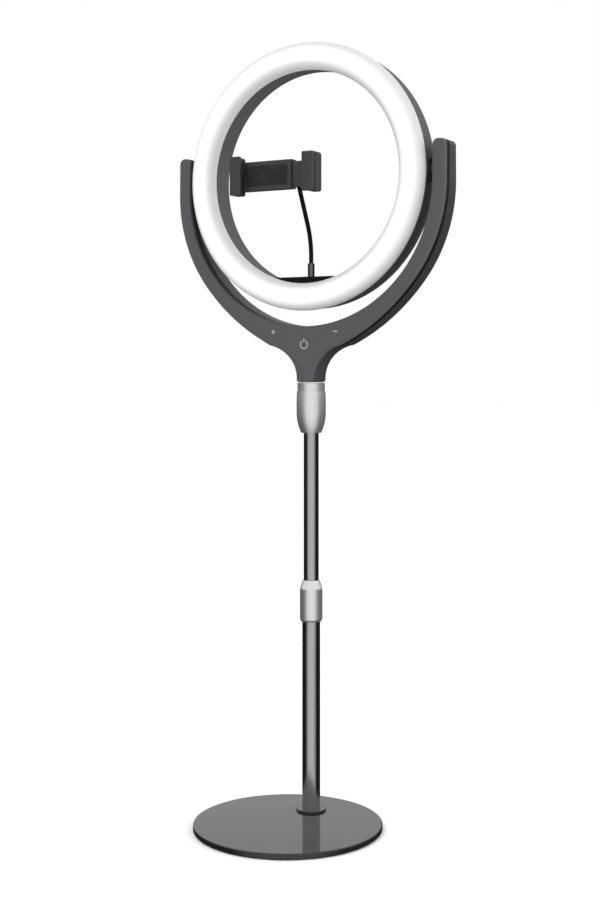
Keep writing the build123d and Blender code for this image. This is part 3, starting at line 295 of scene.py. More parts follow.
def black_enamel():
    """Gloss black stove enamel: a faint orange peel, and a little dust that dulls it."""
    shade = Shade("black_enamel")
    here = shade.place()
    peel = shade.noise(here, 260.0, 2.0)
    dust = shade.noise(here, 38.0, 5.0).between(0.5, 0.85)
    return shade.finish(
        Base_Color=shade.mix(dust, grey(0.012), grey(0.02)),
        Roughness=0.045 + 0.05 * dust,
        Normal=shade.bump(peel, 0.006 * MM),
        IOR=1.5,
    )


def dark_steel(name, dark, light):
    """Dark plated steel, polished lengthwise: fine lines along it and soft clouds in the gloss."""
    shade = Shade(name)
    lines = shade.noise(shade.place(scale=(1.0, 1.0, 0.02)), 2400.0, 3.0)
    clouds = shade.noise(shade.place(), 22.0, 4.0)
    return shade.finish(
        Base_Color=shade.mix(clouds, grey(dark), grey(light)),
        Metallic=1.0,
        Roughness=0.13 + 0.05 * clouds + 0.04 * lines,
        Normal=shade.bump(lines, 0.004 * MM),
    )


def satin_silver():
    """Blasted and anodised aluminium: an even grain with slight turning marks round it."""
    shade = Shade("satin_silver")
    grain = shade.noise(shade.place(), 1900.0, 2.0)
    turning = shade.noise(shade.place(scale=(0.05, 0.05, 1.0)), 1500.0, 2.0)
    clouds = shade.noise(shade.place(), 30.0, 3.0)
    return shade.finish(
        Base_Color=shade.mix(clouds, grey(0.84), grey(0.92)),
        Metallic=0.92,
        Roughness=0.27 + 0.06 * grain + 0.05 * turning,
        Normal=shade.bump(grain + turning, 0.005 * MM),
    )


def zinc_steel():
    """Zinc-plated steel, as screws and washers have it."""
    shade = Shade("zinc_steel")
    spangle = shade.node("TexVoronoi", {"feature": "F1"}, {"Vector": shade.place(), "Scale": 900.0})
    clouds = shade.noise(shade.place(), 180.0, 4.0)
    return shade.finish(
        Base_Color=shade.mix(clouds, grey(0.42), grey(0.56, 0.02)),
        Metallic=1.0,
        Roughness=0.26 + 0.16 * spangle,
        Normal=shade.bump(clouds, 0.01 * MM),
    )


def turned_brass():
    """Brass as it comes off the lathe, slightly dulled."""
    shade = Shade("turned_brass")
    rings = shade.noise(shade.place(scale=(0.05, 0.05, 1.0)), 1800.0, 2.0)
    dull = shade.noise(shade.place(), 160.0, 4.0)
    return shade.finish(
        Base_Color=shade.mix(dull, (0.72, 0.5, 0.2, 1.0), (0.5, 0.36, 0.17, 1.0)),
        Metallic=1.0,
        Roughness=0.22 + 0.2 * dull,
        Normal=shade.bump(rings, 0.008 * MM),
    )


def grained_plastic(name, dark, light, dull, grain_size=COARSE_GRAIN, depth=0.02, gloss=0.45):
    """Moulded plastic with an eroded grain, faint flow clouds and a touch of handling shine."""
    shade = Shade(name)
    here = shade.place()
    grain = shade.noise(here, grain_size, 4.0, 0.6)
    clouds = shade.noise(here, 14.0, 5.0)
    shine = shade.noise(here, 46.0, 3.0).between(0.45, 0.8)
    return shade.finish(
        Base_Color=shade.mix(clouds, grey(dark), grey(light)),
        Roughness=dull + 0.08 * grain - 0.06 * shine,
        Normal=shade.bump(grain, depth * MM),
        Specular_IOR_Level=gloss,
    )


def seam_shaded_plastic():
    """The yoke's rear moulding: grained plastic with a near-black band of painted shade behind the cover's
    edge, where the seam's shadow falls.
    """
    shade = Shade("seam_shaded_plastic")
    here = shade.place()
    x, y, z = (shade.node("SeparateXYZ", {}, {"Vector": here}, out=place) for place in range(3))
    slope = (YOKE_TIP_HALF - YOKE_FOOT_HALF) / (YOKE_TOP - YOKE_FOOT)
    half = YOKE_FOOT_HALF * MM + (z - float(LAMP[2]) - YOKE_FOOT * MM) * slope
    behind = y - POLE_Y + half - COVER_T * MM
    aside = x.size().between(SEAM_SHADE_START * MM, SEAM_SHADE_FULL * MM)
    # painted shade: near-black colour in a band behind the seam, fading in away from the middle, in place of
    # the seam's shadow
    seam_shade = (1 - behind.between(SEAM_SHADE * MM, (SEAM_SHADE + SEAM_SHADE_SOFT) * MM)) * aside
    grain = shade.noise(here, COARSE_GRAIN, 4.0, 0.6)
    clouds = shade.noise(here, 14.0, 5.0)
    face = shade.mix(clouds, grey(CHARCOAL[0]), grey(CHARCOAL[1]))
    return shade.finish(
        Base_Color=shade.mix(seam_shade, face, grey(0.004)),
        Roughness=0.46 + 0.08 * grain + 0.2 * seam_shade,
        Normal=shade.bump(grain, 0.02 * MM),
        Specular_IOR_Level=0.4,
    )


def matt_rubber():
    """Black rubber with a fine matt skin and a little grey bloom."""
    shade = Shade("matt_rubber")
    here = shade.place()
    skin = shade.noise(here, 1100.0, 4.0)
    bloom = shade.noise(here, 60.0, 4.0).between(0.5, 0.8)
    return shade.finish(
        Base_Color=shade.mix(bloom, grey(0.01), grey(0.02)),
        Roughness=0.66 + 0.14 * skin,
        Normal=shade.bump(skin, 0.03 * MM),
    )


def nylon():
    """Natural nylon, waxy and slightly uneven."""
    shade = Shade("nylon")
    here = shade.place()
    clouds = shade.noise(here, 70.0, 4.0)
    return shade.finish(
        Base_Color=shade.mix(clouds, (0.78, 0.76, 0.7, 1.0), (0.68, 0.65, 0.58, 1.0)),
        Roughness=0.42 + 0.1 * clouds,
        Normal=shade.bump(shade.noise(here, 900.0), 0.01 * MM),
        Subsurface_Weight=0.1,
        Subsurface_Radius=(0.002, 0.002, 0.002),
    )


def circuit_board(name, mask, trace):
    """Solder mask over straight copper traces, which show as paler raised lines."""
    shade = Shade(name)
    here = shade.place(scale=(420.0, 420.0, 420.0))
    along = shade.node("SeparateXYZ", {}, {"Vector": here})
    lines = along.math("SINE", along).between(0.86, 0.97)
    grain = shade.noise(here, 1.3, 2.0)
    return shade.finish(
        Base_Color=shade.mix(lines, mask, trace),
        Roughness=0.24 + 0.08 * grain,
        Normal=shade.bump(lines, 0.02 * MM),
        Coat_Weight=0.2 + 0.1 * grain,
    )


def phosphor():
    """The yellow window of a light-emitting chip."""
    shade = Shade("phosphor")
    dots = shade.noise(shade.place(), 2600.0, 2.0)
    return shade.finish(
        Base_Color=shade.mix(dots, (0.86, 0.66, 0.16, 1.0), (0.93, 0.8, 0.36, 1.0)),
        Roughness=0.3 + 0.1 * dots,
        Emission_Color=shade.mix(dots, (1.0, 0.93, 0.75, 1.0), (1.0, 0.97, 0.85, 1.0)),
        Emission_Strength=0.6,
    )


def sign_grey():
    """Pale grey translucent infill of the touch signs, faintly lit from behind."""
    shade = Shade("sign_grey")
    cloud = shade.noise(shade.place(), 600.0, 3.0)
    return shade.finish(
        Base_Color=shade.mix(cloud, grey(0.34), grey(0.42)),
        Roughness=0.3 + 0.1 * cloud,
        Emission_Color=shade.mix(cloud, grey(0.9), grey(1.0)),
        Emission_Strength=0.03,
    )


def opal_diffuser(settings):
    """Opal plastic lit from inside: the glow is the lamp's own, and its fall towards the two edges is painted
    shade, for the rounded section turning away from the light.
    """
    shade = Shade("opal_diffuser")
    centred = {"Vector": shade.place(shift=(0.0, 0.0, -float(LAMP[2])))}
    side, up = shade.node("SeparateXYZ", {}, centred), shade.node("SeparateXYZ", {}, centred, out=2)
    across = (side * side + up * up) ** 0.5
    half = 0.5 * (settings.outer_r - settings.inner_r)
    middle = 0.5 * (settings.outer_r + settings.inner_r)
    from_middle = ((across - middle) / half).size()
    # painted shade: the glow falls off from the middle of the section towards both its edges
    edge = from_middle.between(0.15, 1.0)
    speckle = shade.noise(shade.place(), 700.0, 3.0)
    glow = shade.mix(edge, grey(1.0), grey(settings.edge_glow))
    return shade.finish(
        Base_Color=shade.mix(speckle, grey(0.55), grey(0.57)),
        Roughness=0.34 + 0.06 * speckle,
        Normal=shade.bump(speckle, 0.006 * MM),
        Emission_Color=glow,
        Emission_Strength=settings.glow,
        Subsurface_Weight=0.15,
        Subsurface_Radius=(0.004, 0.004, 0.004),
    )


def pale_floor():
    """Pale seamless studio floor with a barely visible mottle."""
    shade = Shade("pale_floor")
    mottle = shade.noise(shade.place(), 3.0, 4.0)
    return shade.finish(
        Base_Color=shade.mix(mottle, grey(0.9), grey(0.91)),
        Roughness=0.8,
        Specular_IOR_Level=0.1,
    )


# The CAD nodes that have each finish.
FINISHES = {
    "black_enamel": ["base_plate", "foot_flange"],
    "dark_tube_steel": ["lower_tube", "upper_tube"],
    "gunmetal": ["stem_ferrule"],
    "satin_silver": ["lock_collar", "neck_barrel", "neck_ring", "lock_bush"],
    "zinc_steel": [
        "pole_washer", "pole_screw", "foot_plug", "swivel_stud", "swivel_nut", "cover_screws", "board_screws",
        "hub_nuts", "pivot_washers", "pivot_nuts", "holder_screws", "jaw_springs",
    ],
    "turned_brass": ["neck_insert", "stem_insert"],
    "matt_rubber": ["base_pad", "arm_lead", "gooseneck", "holder_pad", "fixed_pad", "sliding_pad"],
    "nylon": ["lock_collet", "guide_plug", "swivel_washer", "pivot_bush_left", "pivot_bush_right"],
    "charcoal_plastic": ["yoke_cover", "lamp_shell"],
    "seam_shaded_plastic": ["yoke_shell"],
    "jaw_plastic": ["fixed_jaw", "sliding_jaw", "holder_back", "holder_front"],
    "black_plastic": [
        "power_socket", "pivot_hub_left", "pivot_hub_right", "ball_stud", "ball_nut", "socket_cup",
    ],
    "green_board": ["touch_board"],
    "white_board": ["led_board"],
    "phosphor": ["led_chips"],
    "sign_grey": ["plus_sign", "power_sign", "minus_sign"],
    "opal_diffuser": ["diffuser"],
}


def make_finishes(settings):
    """Makes every finish; pieces find them by name among the materials."""
    black_enamel()
    dark_steel("dark_tube_steel", 0.37, 0.43)
    dark_steel("gunmetal", 0.1, 0.15)
    grained_plastic("flat_black", 0.003, 0.006, 0.55, FINE_GRAIN, depth=0.012, gloss=0.12)
    satin_silver()
    zinc_steel()
    turned_brass()
    matt_rubber()
    nylon()
    grained_plastic("charcoal_plastic", *CHARCOAL, 0.36)
    seam_shaded_plastic()
    grained_plastic("jaw_plastic", 0.03, 0.036, 0.5, FINE_GRAIN)
    grained_plastic("black_plastic", 0.016, 0.022, 0.42, FINE_GRAIN, depth=0.012)
    circuit_board("green_board", (0.02, 0.11, 0.05, 1.0), (0.05, 0.2, 0.09, 1.0))
    circuit_board("white_board", grey(0.82), grey(0.74))
    phosphor()
    sign_grey()
    opal_diffuser(settings.lamp)


# ---- pieces ---------------------------------------------------------------------------------


def yoke_half_depth(z):
    """Half the yoke's depth at a height: a straight taper from foot to tips."""
    return np.interp(z, (YOKE_FOOT, YOKE_TOP), (YOKE_FOOT_HALF, YOKE_TIP_HALF))


def slack_arc():
    """Centre of the slack arc that leaves the outer curve, and of the fillet between it and the neck."""
    centre = (
        -(SLACK_R - YOKE_OUT_R) * cos(SLACK_START),
        -YOKE_DROP + (SLACK_R - YOKE_OUT_R) * sin(SLACK_START),
    )
    fillet_x = NECK_R + NECK_FILLET
    fillet_z = centre[1] - sqrt((SLACK_R + NECK_FILLET) ** 2 - (fillet_x - centre[0]) ** 2)
    return centre, (fillet_x, fillet_z)


def neck_radius(z):
    """Radius of the round neck: a bevel, a straight neck, then a quarter circle that flares outwards.

    Above the quarter circle it is larger than the yoke, so that it limits nothing there.
    """
    rise = np.clip(z - slack_arc()[1][1], 0.0, NECK_FILLET)
    flare = NECK_R + NECK_FILLET - np.sqrt(NECK_FILLET**2 - rise**2)
    flare = np.where(rise >= NECK_FILLET, 10 * YOKE_OUT_R, flare)
    above = np.maximum(z - YOKE_FOOT, 0.0)
    return np.where(above < NECK_LIP, NECK_R - NECK_LIP + above, flare)


def cover_outline(stations):
    """Inner and outer ends of the lines across the cover's right half, from its foot to its tip.

    Below the curves' centre the lines are radial, and their outer end lies on the foot, the round
    neck where the cover's back meets it, the slack arc or the outer arc. Above, they are level.
    """
    (slack_x, slack_z), (fillet_x, fillet_z) = slack_arc()
    share = SLACK_R / (SLACK_R + NECK_FILLET)
    meet_x, meet_z = slack_x + (fillet_x - slack_x) * share, slack_z + (fillet_z - slack_z) * share
    bend_z = -YOKE_DROP - YOKE_OUT_R * sin(SLACK_START)
    z = np.linspace(YOKE_FOOT, bend_z, NECK_SAMPLES)
    back = yoke_half_depth(z) - COVER_T
    round_x = np.sqrt(np.maximum(neck_radius(z) ** 2 - back**2, 0.0))
    slack = slack_x + np.sqrt(np.maximum(SLACK_R**2 - (z - slack_z) ** 2, 0.0))
    side = np.minimum(round_x, np.where(z < meet_z, meet_x, slack))
    swing = np.arctan2(side, -YOKE_DROP - z)
    reach = np.hypot(side, -YOKE_DROP - z)

    bearing = 0.5 * pi * np.linspace(0.0, 1.0, stations) ** 1.5
    foot = (-YOKE_DROP - YOKE_FOOT) / np.cos(np.minimum(bearing, swing[0]))
    out_r = np.where(bearing < swing[0], foot, np.interp(bearing, swing, reach, right=YOKE_OUT_R))
    ray = np.stack([np.sin(bearing), -np.cos(bearing)], axis=-1)
    centre = np.array([0.0, -YOKE_DROP])
    inner, outer = centre + ray * YOKE_IN_R, centre + ray * out_r[:, None]

    level = YOKE_TOP - (YOKE_TOP + YOKE_DROP) * np.linspace(1.0, 0.0, stations // 3)[1:] ** 2
    into = np.clip(level - (YOKE_TOP - YOKE_TIP_R), 0.0, YOKE_TIP_R)
    inset = YOKE_TIP_R - np.sqrt(YOKE_TIP_R**2 - into**2)
    inner = np.concatenate([inner, np.stack([YOKE_IN_R + inset, level], axis=-1)])
    outer = np.concatenate([outer, np.stack([YOKE_OUT_R - inset, level], axis=-1)])
    return inner, outer


def edge_round(distance, radius):
    """How far a rounded edge falls back at a distance inside it: a quarter circle."""
    return radius - np.sqrt(radius**2 - np.clip(radius - distance, 0.0, radius) ** 2)


def smooth_least(first, second, blend):
    """The lesser of two heights, rounded over where they cross."""
    near = np.clip(0.5 + 0.5 * (second - first) / blend, 0.0, 1.0)
    return second + (first - second) * near - blend * near * (1 - near)


def yoke_cover_points(edges):
    """Front moulding as rows across the yoke, from tip to tip.

    Each row runs over the face and back along the flat rear. The face's height is the yoke's half
    depth, less a quarter circle along each edge, and no more than the round neck leaves.
    """
    inner, outer = cover_outline(COVER_ROWS)
    share = 0.5 - 0.5 * np.cos(np.linspace(0.0, pi, COVER_COLUMNS))
    line = inner[:, None] + (outer - inner)[:, None] * share[None, :, None]
    x, z = line[..., 0], line[..., 1]
    width = np.linalg.norm(outer - inner, axis=-1)[:, None]
    bearing = np.arctan2(outer[:, 0], -YOKE_DROP - outer[:, 1])[:, None]
    on_arm = np.clip((bearing - ARM_START) / ARM_BLEND, 0.0, 1.0)
    on_arm = on_arm * on_arm * (3 - 2 * on_arm)
    half = yoke_half_depth(z)
    face = half - SIGN_PROUD - on_arm * edge_round((1 - share) * width, edges.outer_edge / MM)
    face -= edge_round(share * width, edges.inner_edge / MM)
    face -= edge_round(YOKE_TOP - z, edges.inner_edge / MM)
    neck = np.sqrt(np.maximum(neck_radius(z) ** 2 - x**2, 0.0))
    face = np.maximum(smooth_least(face, neck, NECK_BLEND), half - COVER_T)
    front = np.stack([x, -face, z], axis=-1)
    rear_ends = line[:, [-1, 0]]
    rear_depth = COVER_T - yoke_half_depth(rear_ends[..., 1])
    rear = np.stack([rear_ends[..., 0], rear_depth, rear_ends[..., 1]], axis=-1)
    rows = np.concatenate([front, rear], axis=1)
    mirrored = rows[:0:-1] * np.array([-1.0, 1.0, 1.0])
    return np.concatenate([mirrored, rows]) * MM + LAMP


class RINGLIGHT_OT_yoke_cover(bpy.types.Operator):
    """Front moulding of the yoke, with rounded edges and a round neck"""

    bl_idname = "ringlight.yoke_cover"
    bl_label = "Yoke cover"

    def execute(self, context):
        points = yoke_cover_points(context.scene.ring_light.yoke)
        cover = add_surface("front_moulding", points, "yoke", "charcoal_plastic", caps=True)
        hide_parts("yoke_cover")
        return {"FINISHED"}


class RINGLIGHT_OT_diffuser(bpy.types.Operator):
    """Opal ring with a full round front"""

    bl_idname = "ringlight.diffuser"
    bl_label = "Diffuser"

    def execute(self, context):
        lamp = context.scene.ring_light.lamp
        low, high = node_box("diffuser")
        foot = float(POLE_Y - high[1]) + 2.0 * MM
        depth = float(POLE_Y - low[1]) - foot
        middle, half = 0.5 * (lamp.outer_r + lamp.inner_r), 0.5 * (lamp.outer_r - lamp.inner_r)
        # A superellipse: both the cosine and the sine of the turn are raised to 2 / fullness.
        turn = np.linspace(0.0, pi, 49)
        across = np.sign(np.cos(turn)) * np.abs(np.cos(turn)) ** (2 / lamp.fullness)
        rise = np.sin(turn) ** (2 / lamp.fullness)
        section = np.stack([middle + half * across, foot + depth * rise], axis=-1)
        ring = add_surface(
            "opal_ring", lathe(section, LAMP, RING_SEGMENTS).transpose(1, 0, 2), "lamp", "opal_diffuser",
            close_rows=True,
        )
        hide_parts("diffuser")
        return {"FINISHED"}


class RINGLIGHT_OT_gooseneck(bpy.types.Operator):
    """Ribbed hose from the ferrule to the clamp's ball"""

    bl_idname = "ringlight.gooseneck"
    bl_label = "Gooseneck"

    def execute(self, context):
        hose = context.scene.ring_light.hose
        low, _ = node_box("gooseneck")
        top = float(node_box("stem_ferrule")[1][2])
        bend = top + hose.rise
        lean = (float(BALL[2]) - bend) * tan(hose.lean)
        # Depth and height: straight up, leaning forward, then level into the ball's sleeve.
        route = rounded(
            [
                (POLE_Y, low[2], 0.0),
                (POLE_Y, bend, hose.first_bend),
                (POLE_Y - lean, float(BALL[2]), hose.last_bend),
                (low[1], float(BALL[2]), 0.0),
            ],
            24,
        )
        steps = np.linalg.norm(np.diff(route, axis=0), axis=-1)
        reach = np.concatenate([[0.0], np.cumsum(steps)])
        along = np.linspace(0.0, reach[-1], int(reach[-1] / hose.pitch * RIB_STEPS))
        line = np.stack([np.interp(along, reach, route[:, way]) for way in range(2)], axis=-1)
        heading = np.gradient(line, axis=0)
        heading /= np.linalg.norm(heading, axis=-1)[:, None]
        # The ribs follow a sine along the hose without its sign.
        rib = np.abs(np.sin(pi * along / hose.pitch))
        radius = (hose.radius - hose.rib + hose.rib * rib)[:, None]
        turn = np.linspace(0.0, FULL_TURN, HOSE_SIDES, endpoint=False)[None, :]
        sideways = radius * np.cos(turn)
        depth = line[:, :1] + radius * np.sin(turn) * heading[:, 1:]
        height = line[:, 1:] - radius * np.sin(turn) * heading[:, :1]
        points = np.stack([sideways, depth, height], axis=-1)
        ribbed = add_surface(
            "ribbed_gooseneck", points, "lamp", "flat_black", caps=True, sharp=radians(60)
        )
        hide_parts("gooseneck")
        return {"FINISHED"}


def jaw_points(side, jaw):
    """A jaw as level outlines, from its foot to its top; side is -1 on the left and 1 on the right.

    The outline has a lip over the phone's edge, an upright groove in its outer side and rounded
    corners. Near the foot and the top it shrinks by a quarter circle, most at the back.
    """
    low, high = node_box("sliding_jaw" if side > 0 else "fixed_jaw")
    pad = node_box("sliding_pad" if side > 0 else "fixed_pad")
    back_x = float(pad[1][0] if side > 0 else -pad[0][0])
    out_x = float(high[0] if side > 0 else -low[0])
    lip_x = float(-pad[1][0] if side < 0 else pad[0][0]) - jaw.lip
    front = float(low[1])
    rear = front + jaw.depth
    lip_y = front + jaw.lip_thick
    groove_x = out_x - jaw.groove
    groove_front, groove_back = lip_y + jaw.groove, lip_y + 2.4 * jaw.groove
    crisp, eased, soft = 0.2 * MM, 0.3 * MM, 0.4 * MM
    corners = [
        (back_x, 0.5 * (lip_y + rear), 0.0),
        (back_x, rear, soft),
        (out_x, rear, jaw.corner),
        (out_x, groove_back, crisp),
        (groove_x, groove_back, eased),
        (groove_x, groove_front, eased),
        (out_x, groove_front, crisp),
        (out_x, front, jaw.corner),
        (lip_x, front, 2 * soft),
        (lip_x, lip_y, soft),
        (back_x, lip_y, crisp),
        (back_x, 0.5 * (lip_y + rear), 0.0),
    ]
    plan = rounded(corners, 5)[:-1]
    mid = np.array([0.5 * (lip_x + out_x), 0.5 * (front + rear)])
    half = np.array([0.5 * (out_x - lip_x), 0.5 * (rear - front)])
    turn = np.linspace(0.0, 0.5 * pi, 9)
    step = jaw.end * (1 - np.cos(turn))
    level = np.concatenate([low[2] + step, high[2] - step[::-1]])
    fall = jaw.end * np.concatenate([1 - np.sin(turn), 1 - np.sin(turn[::-1])])
    back_share = np.clip((plan[:, 1] - mid[1]) / half[1], 0.0, 1.0)
    deep = plan[None, :, 1] - fall[:, None] * back_share
    across = plan[None, :, 0] - 0.25 * fall[:, None] * np.sign(plan[:, 0] - mid[0])
    across = np.maximum(across, lip_x)
    height = np.broadcast_to(level[:, None], deep.shape)
    return np.stack([side * across, deep, height], axis=-1)


class RINGLIGHT_OT_jaws(bpy.types.Operator):
    """Jaws of the phone clamp, with rounded corners and an upright groove"""

    bl_idname = "ringlight.jaws"
    bl_label = "Jaws"

    def execute(self, context):
        jaw = context.scene.ring_light.jaw
        for side, name, body in ((-1, "fixed_jaw", "clamp"), (1, "sliding_jaw", "jaw")):
            grip = add_surface(name + "_grip", jaw_points(side, jaw), body, "jaw_plastic", caps=True)
            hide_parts(name)
        # The tongue is a flat bar with rounded long edges, which slides in the holder.
        low, high = node_box("sliding_jaw")
        back = float(node_box("holder_back")[1][1]) - jaw.tongue_in
        front = back - jaw.tongue_thick
        half = 0.5 * jaw.tongue_height
        middle = 0.5 * float(low[2] + high[2])
        corner = jaw.lip_thick / 4
        section = rounded(
            [
                (0.5 * (front + back), middle - half, 0.0),
                (back, middle - half, corner),
                (back, middle + half, corner),
                (front, middle + half, corner),
                (front, middle - half, corner),
                (0.5 * (front + back), middle - half, 0.0),
            ]
        )[:-1]
        along = np.linspace(float(low[0]), float(node_box("sliding_pad")[1][0]) + corner, 12)[:, None]
        grid = np.broadcast_arrays(along, section[None, :, 0], section[None, :, 1])
        points = np.stack(grid, axis=-1)
        tongue = add_surface("sliding_tongue", points, "jaw", "jaw_plastic", caps=True)
        return {"FINISHED"}


class RINGLIGHT_OT_platform_black_sheet(bpy.types.Operator):
    """Thin black sheet over the front of the platform that carries the gooseneck, which makes that face black
    """

    bl_idname = "ringlight.platform_trim"
    bl_label = "Platform trim"

    def execute(self, context):
        sheet = context.scene.ring_light.platform
        half = sqrt(sheet.arc**2 - sheet.chord**2)
        # Between a chord above and the ring's arc below, pulled in a little at the two points.
        x = half * np.sin(np.linspace(-0.5 * pi, 0.5 * pi, 61))[:, None]
        arc = np.sqrt(sheet.arc**2 - x**2)
        share = np.linspace(0.0, 1.0, 7)[None, :]
        z = -(sheet.chord + (arc - sheet.chord) * share)
        crown = sheet.thickness * np.sin(pi * np.clip(share, 0.04, 0.96)) ** 0.4
        level = sheet.front + crown + 0 * x
        front = np.stack([x + 0 * z, -level, z], axis=-1)
        back = np.stack([x + 0 * z, -sheet.front + 0 * z, z], axis=-1)[:, ::-1]
        points = np.concatenate([front, back], axis=1) + LAMP
        plate = add_surface("platform_black_sheet", points, "lamp", "flat_black", caps=False)
        return {"FINISHED"}


# ---- settings -------------------------------------------------------------------------------


def length(name, description, default, **limits):
    """A setting that is a length in metres."""
    return FloatProperty(
        name=name, description=description, default=default, subtype="DISTANCE", unit="LENGTH", **limits
    )


def angle(name, description, default):
    """A setting that is an angle in radians."""
    return FloatProperty(
        name=name, description=description, default=default, subtype="ANGLE", unit="ROTATION"
    )


class LampSettings(bpy.types.PropertyGroup):
    outer_r: length("Outer radius", "Outside of the opal ring", float(node_box("diffuser")[1][0]))
    inner_r: length("Inner radius", "Inside of the opal ring", 111.9 * MM)
    fullness: FloatProperty(
        name="Fullness", description="Exponent of the section: 2 is an ellipse, more is squarer", default=2.2,
        min=2.0, max=6.0,
    )
    glow: FloatProperty(name="Glow", description="How strongly the opal ring shines", default=0.52, min=0.0)
    # painted shade: the edges' share of the glow sets how dark the ring's two edges are painted
    edge_glow: FloatProperty(
        name="Edge glow", description="Brightness of its edges, as a share of its middle", default=0.0,
        subtype="FACTOR", min=0.0, max=1.0,
    )


class YokeSettings(bpy.types.PropertyGroup):
    outer_edge: length(
        "Outer edge", "Rounding of the cover's outer edge", 3.4 * MM, min=0.5 * MM, max=4.0 * MM
    )
    inner_edge: length(
        "Inner edge", "Rounding of its inner edge and tips", 1.4 * MM, min=0.5 * MM, max=4.0 * MM
    )


class HoseSettings(bpy.types.PropertyGroup):
    radius: length("Radius", "Outside of the gooseneck's ribs", 2.45 * MM)
    rib: length("Rib", "Depth of the grooves between the ribs", 0.32 * MM)
    pitch: length("Pitch", "From one rib to the next", 1.7 * MM)
    rise: length("Rise", "Straight stretch above the ferrule", 24.5 * MM)
    lean: angle("Lean", "Lean of the middle stretch towards the front", radians(25.0))
    first_bend: length("Lower bend", "Radius of the lower bend", 80.0 * MM)
    last_bend: length("Upper bend", "Radius of the bend into the ball", 20.0 * MM)


class JawSettings(bpy.types.PropertyGroup):
    depth: length("Depth", "Of a jaw, from its front to its back", 19.3 * MM)
    lip: length("Lip", "Reach of the lip beyond the pad", 2.0 * MM)
    lip_thick: length("Lip thickness", "Thickness of the lip", 3.0 * MM)
    groove: length("Groove", "Depth of the upright groove", 1.1 * MM)
    corner: length("Corner", "Rounding of the outer corners", 1.6 * MM)
    end: length("End", "Rounding of the foot and the top", 3.0 * MM)
    tongue_in: length("Tongue inset", "From the holder's back to the tongue", 2.1 * MM)
    tongue_thick: length("Tongue thickness", "Thickness of the sliding tongue", 6.3 * MM)
    tongue_height: length("Tongue height", "Height of the sliding tongue", 25.8 * MM)


class PlatformSettings(bpy.types.PropertyGroup):
    chord: length("Top edge", "The plate's straight edge below the lamp's centre", 105.0 * MM)
    arc: length("Arc", "Radius of its curved edge", 113.8 * MM)
    front: length("Front", "Face of the platform in front of the pivots", 9.5 * MM)
    thickness: length("Thickness", "Thickness of the plate", 0.8 * MM)


class StageSettings(bpy.types.PropertyGroup):
    sight: angle("Bearing", "The camera's bearing to the right of the front", radians(30.1))
    distance: length("Distance", "From the pole's axis to the camera", 1.5403)
    eye: length("Eye height", "The camera's height above the floor", 0.4827)
    lens: FloatProperty(
        name="Lens", description="Focal length in millimetres", subtype="DISTANCE_CAMERA", default=58.125
    )
    shift_x: FloatProperty(
        name="Shift across", description="Share of the view's longer side", default=-0.01244
    )
    shift_y: FloatProperty(
        name="Shift up", description="Share of the view's longer side", default=-0.09966
    )


class RingLightSettings(bpy.types.PropertyGroup):
    lamp: PointerProperty(type=LampSettings)
    yoke: PointerProperty(type=YokeSettings)
    hose: PointerProperty(type=HoseSettings)
    jaw: PointerProperty(type=JawSettings)
    platform: PointerProperty(type=PlatformSettings)
    stage: PointerProperty(type=StageSettings)


# ---- studio ---------------------------------------------------------------------------------


def make_world():
    """White overhead and in front, and dark low down behind the object; plain white to look at."""
    world = bpy.data.worlds.new("studio")
    world.use_nodes = True
    shade = Shade("studio", world.node_tree)
    direction = shade.node("TexCoord", out="Generated")
    height = shade.node("SeparateXYZ", {}, {"Vector": direction}, out=2)
    dome = height.between(sin(DOME_START), sin(DOME_FULL))
    bearing = bpy.context.scene.ring_light.stage.sight
    camera_side = (sin(bearing), -cos(bearing), 0.0)
    towards = shade.node("VectorMath", {"operation": "DOT_PRODUCT"}, {0: direction, 1: camera_side}, out=1)
    front = towards.between(FRONT_EDGE - FRONT_SOFT, FRONT_EDGE + FRONT_SOFT)
    low = shade.mix(front, grey(0.02), grey(1.0))
    lit = shade.node("Background", {}, {"Color": shade.mix(dome, low, grey(1.0)), "Strength": 1.0})
    seen = shade.node("Background", {}, {"Color": grey(1.0), "Strength": 1.0})
    eye = shade.node("LightPath", out="Is Camera Ray")
    both = shade.node("MixShader", {}, {0: eye, 1: lit, 2: seen})
    shade.node("OutputWorld", {}, {"Surface": both})
    bpy.context.scene.world = world


def add_sun(name, bearing, rise, energy, spread):
    """Sunlight from a bearing off the front and a rise above the level, unseen by camera and gloss."""
    light = bpy.data.lights.new(name, "SUN")
    light.energy = energy
    light.angle = spread
    sun = bpy.data.objects.new(name, light)
    bpy.context.scene.collection.objects.link(sun)
    flat = SUN_DISTANCE * cos(rise)
    height = 0.5 * float(LAMP[2]) + SUN_DISTANCE * sin(rise)
    sun.location = (flat * sin(bearing), POLE_Y - flat * cos(bearing), height)
    sun.rotation_euler = (pi / 2 - rise, 0.0, bearing)
    sun.visible_camera = False
    sun.visible_glossy = False


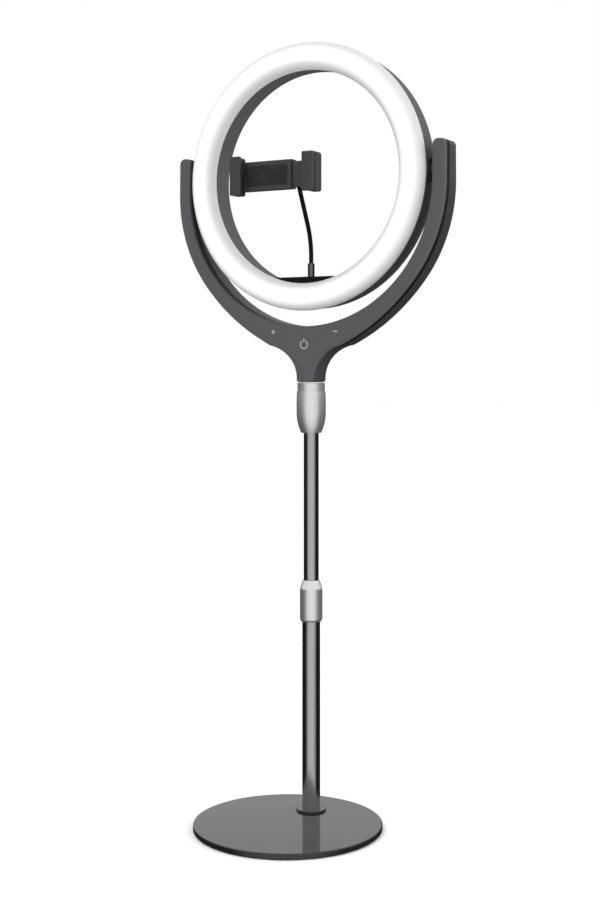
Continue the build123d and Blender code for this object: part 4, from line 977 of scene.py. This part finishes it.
class RINGLIGHT_OT_stage(bpy.types.Operator):
    """Pale floor, soft studio light and the camera"""

    bl_idname = "ringlight.stage"
    bl_label = "Studio"

    def execute(self, context):
        scene = context.scene
        settings = scene.ring_light.stage
        scene.view_settings.view_transform = "Standard"
        make_world()

        floor = bpy.data.meshes.new("studio_floor")
        corners = [(-FLOOR_HALF, -FLOOR_HALF, 0.0), (FLOOR_HALF, -FLOOR_HALF, 0.0)]
        corners += [(FLOOR_HALF, FLOOR_HALF, 0.0), (-FLOOR_HALF, FLOOR_HALF, 0.0)]
        floor.from_pydata(corners, [], [(0, 1, 2, 3)])
        floor.materials.append(pale_floor())
        ground = bpy.data.objects.new("studio_floor", floor)
        scene.collection.objects.link(ground)
        ground.visible_glossy = False

        add_sun("overhead", radians(-35), radians(58), energy=0.75, spread=radians(32))
        add_sun("side_fill", radians(100), radians(8), energy=1.6, spread=radians(50))

        data = bpy.data.cameras.new("camera")
        data.lens = settings.lens
        data.shift_x = settings.shift_x
        data.shift_y = settings.shift_y
        data.dof.use_dof = False
        camera = bpy.data.objects.new("camera", data)
        scene.collection.objects.link(camera)
        bearing = settings.sight
        camera.location = (
            settings.distance * sin(bearing), POLE_Y - settings.distance * cos(bearing), settings.eye
        )
        camera.rotation_euler = (pi / 2, 0.0, bearing)
        scene.camera = camera
        return {"FINISHED"}


class RINGLIGHT_OT_finishes(bpy.types.Operator):
    """Finishes for every piece of the frame"""

    bl_idname = "ringlight.finishes"
    bl_label = "Finishes"

    def execute(self, context):
        make_finishes(context.scene.ring_light)
        for finish, nodes in FINISHES.items():
            for node in nodes:
                mesh = frame["nodes"][node].data
                mesh.materials.clear()
                mesh.materials.append(bpy.data.materials[finish])
        return {"FINISHED"}


OPERATORS = [
    RINGLIGHT_OT_finishes, RINGLIGHT_OT_yoke_cover, RINGLIGHT_OT_diffuser, RINGLIGHT_OT_gooseneck,
    RINGLIGHT_OT_jaws, RINGLIGHT_OT_platform_black_sheet, RINGLIGHT_OT_stage,
]


class RINGLIGHT_PT_panel(bpy.types.Panel):
    """Every step of the ring light's looks, in order"""

    bl_idname = "RINGLIGHT_PT_panel"
    bl_label = "Ring light"
    bl_space_type = "VIEW_3D"
    bl_region_type = "UI"
    bl_category = "Ring light"

    def draw(self, context):
        for operator in OPERATORS:
            self.layout.operator(operator.bl_idname)


CLASSES = [
    LampSettings, YokeSettings, HoseSettings, JawSettings, PlatformSettings, StageSettings, RingLightSettings,
    *OPERATORS, RINGLIGHT_PT_panel,
]


def register():
    for cls in CLASSES:
        bpy.utils.register_class(cls)
    bpy.types.Scene.ring_light = PointerProperty(type=RingLightSettings)


def unregister():
    del bpy.types.Scene.ring_light
    for cls in reversed(CLASSES):
        bpy.utils.unregister_class(cls)


def main():
    register()
    for operator in OPERATORS:
        group, name = operator.bl_idname.split(".")
        getattr(getattr(bpy.ops, group), name)()


if __name__ == "__main__":
    main()
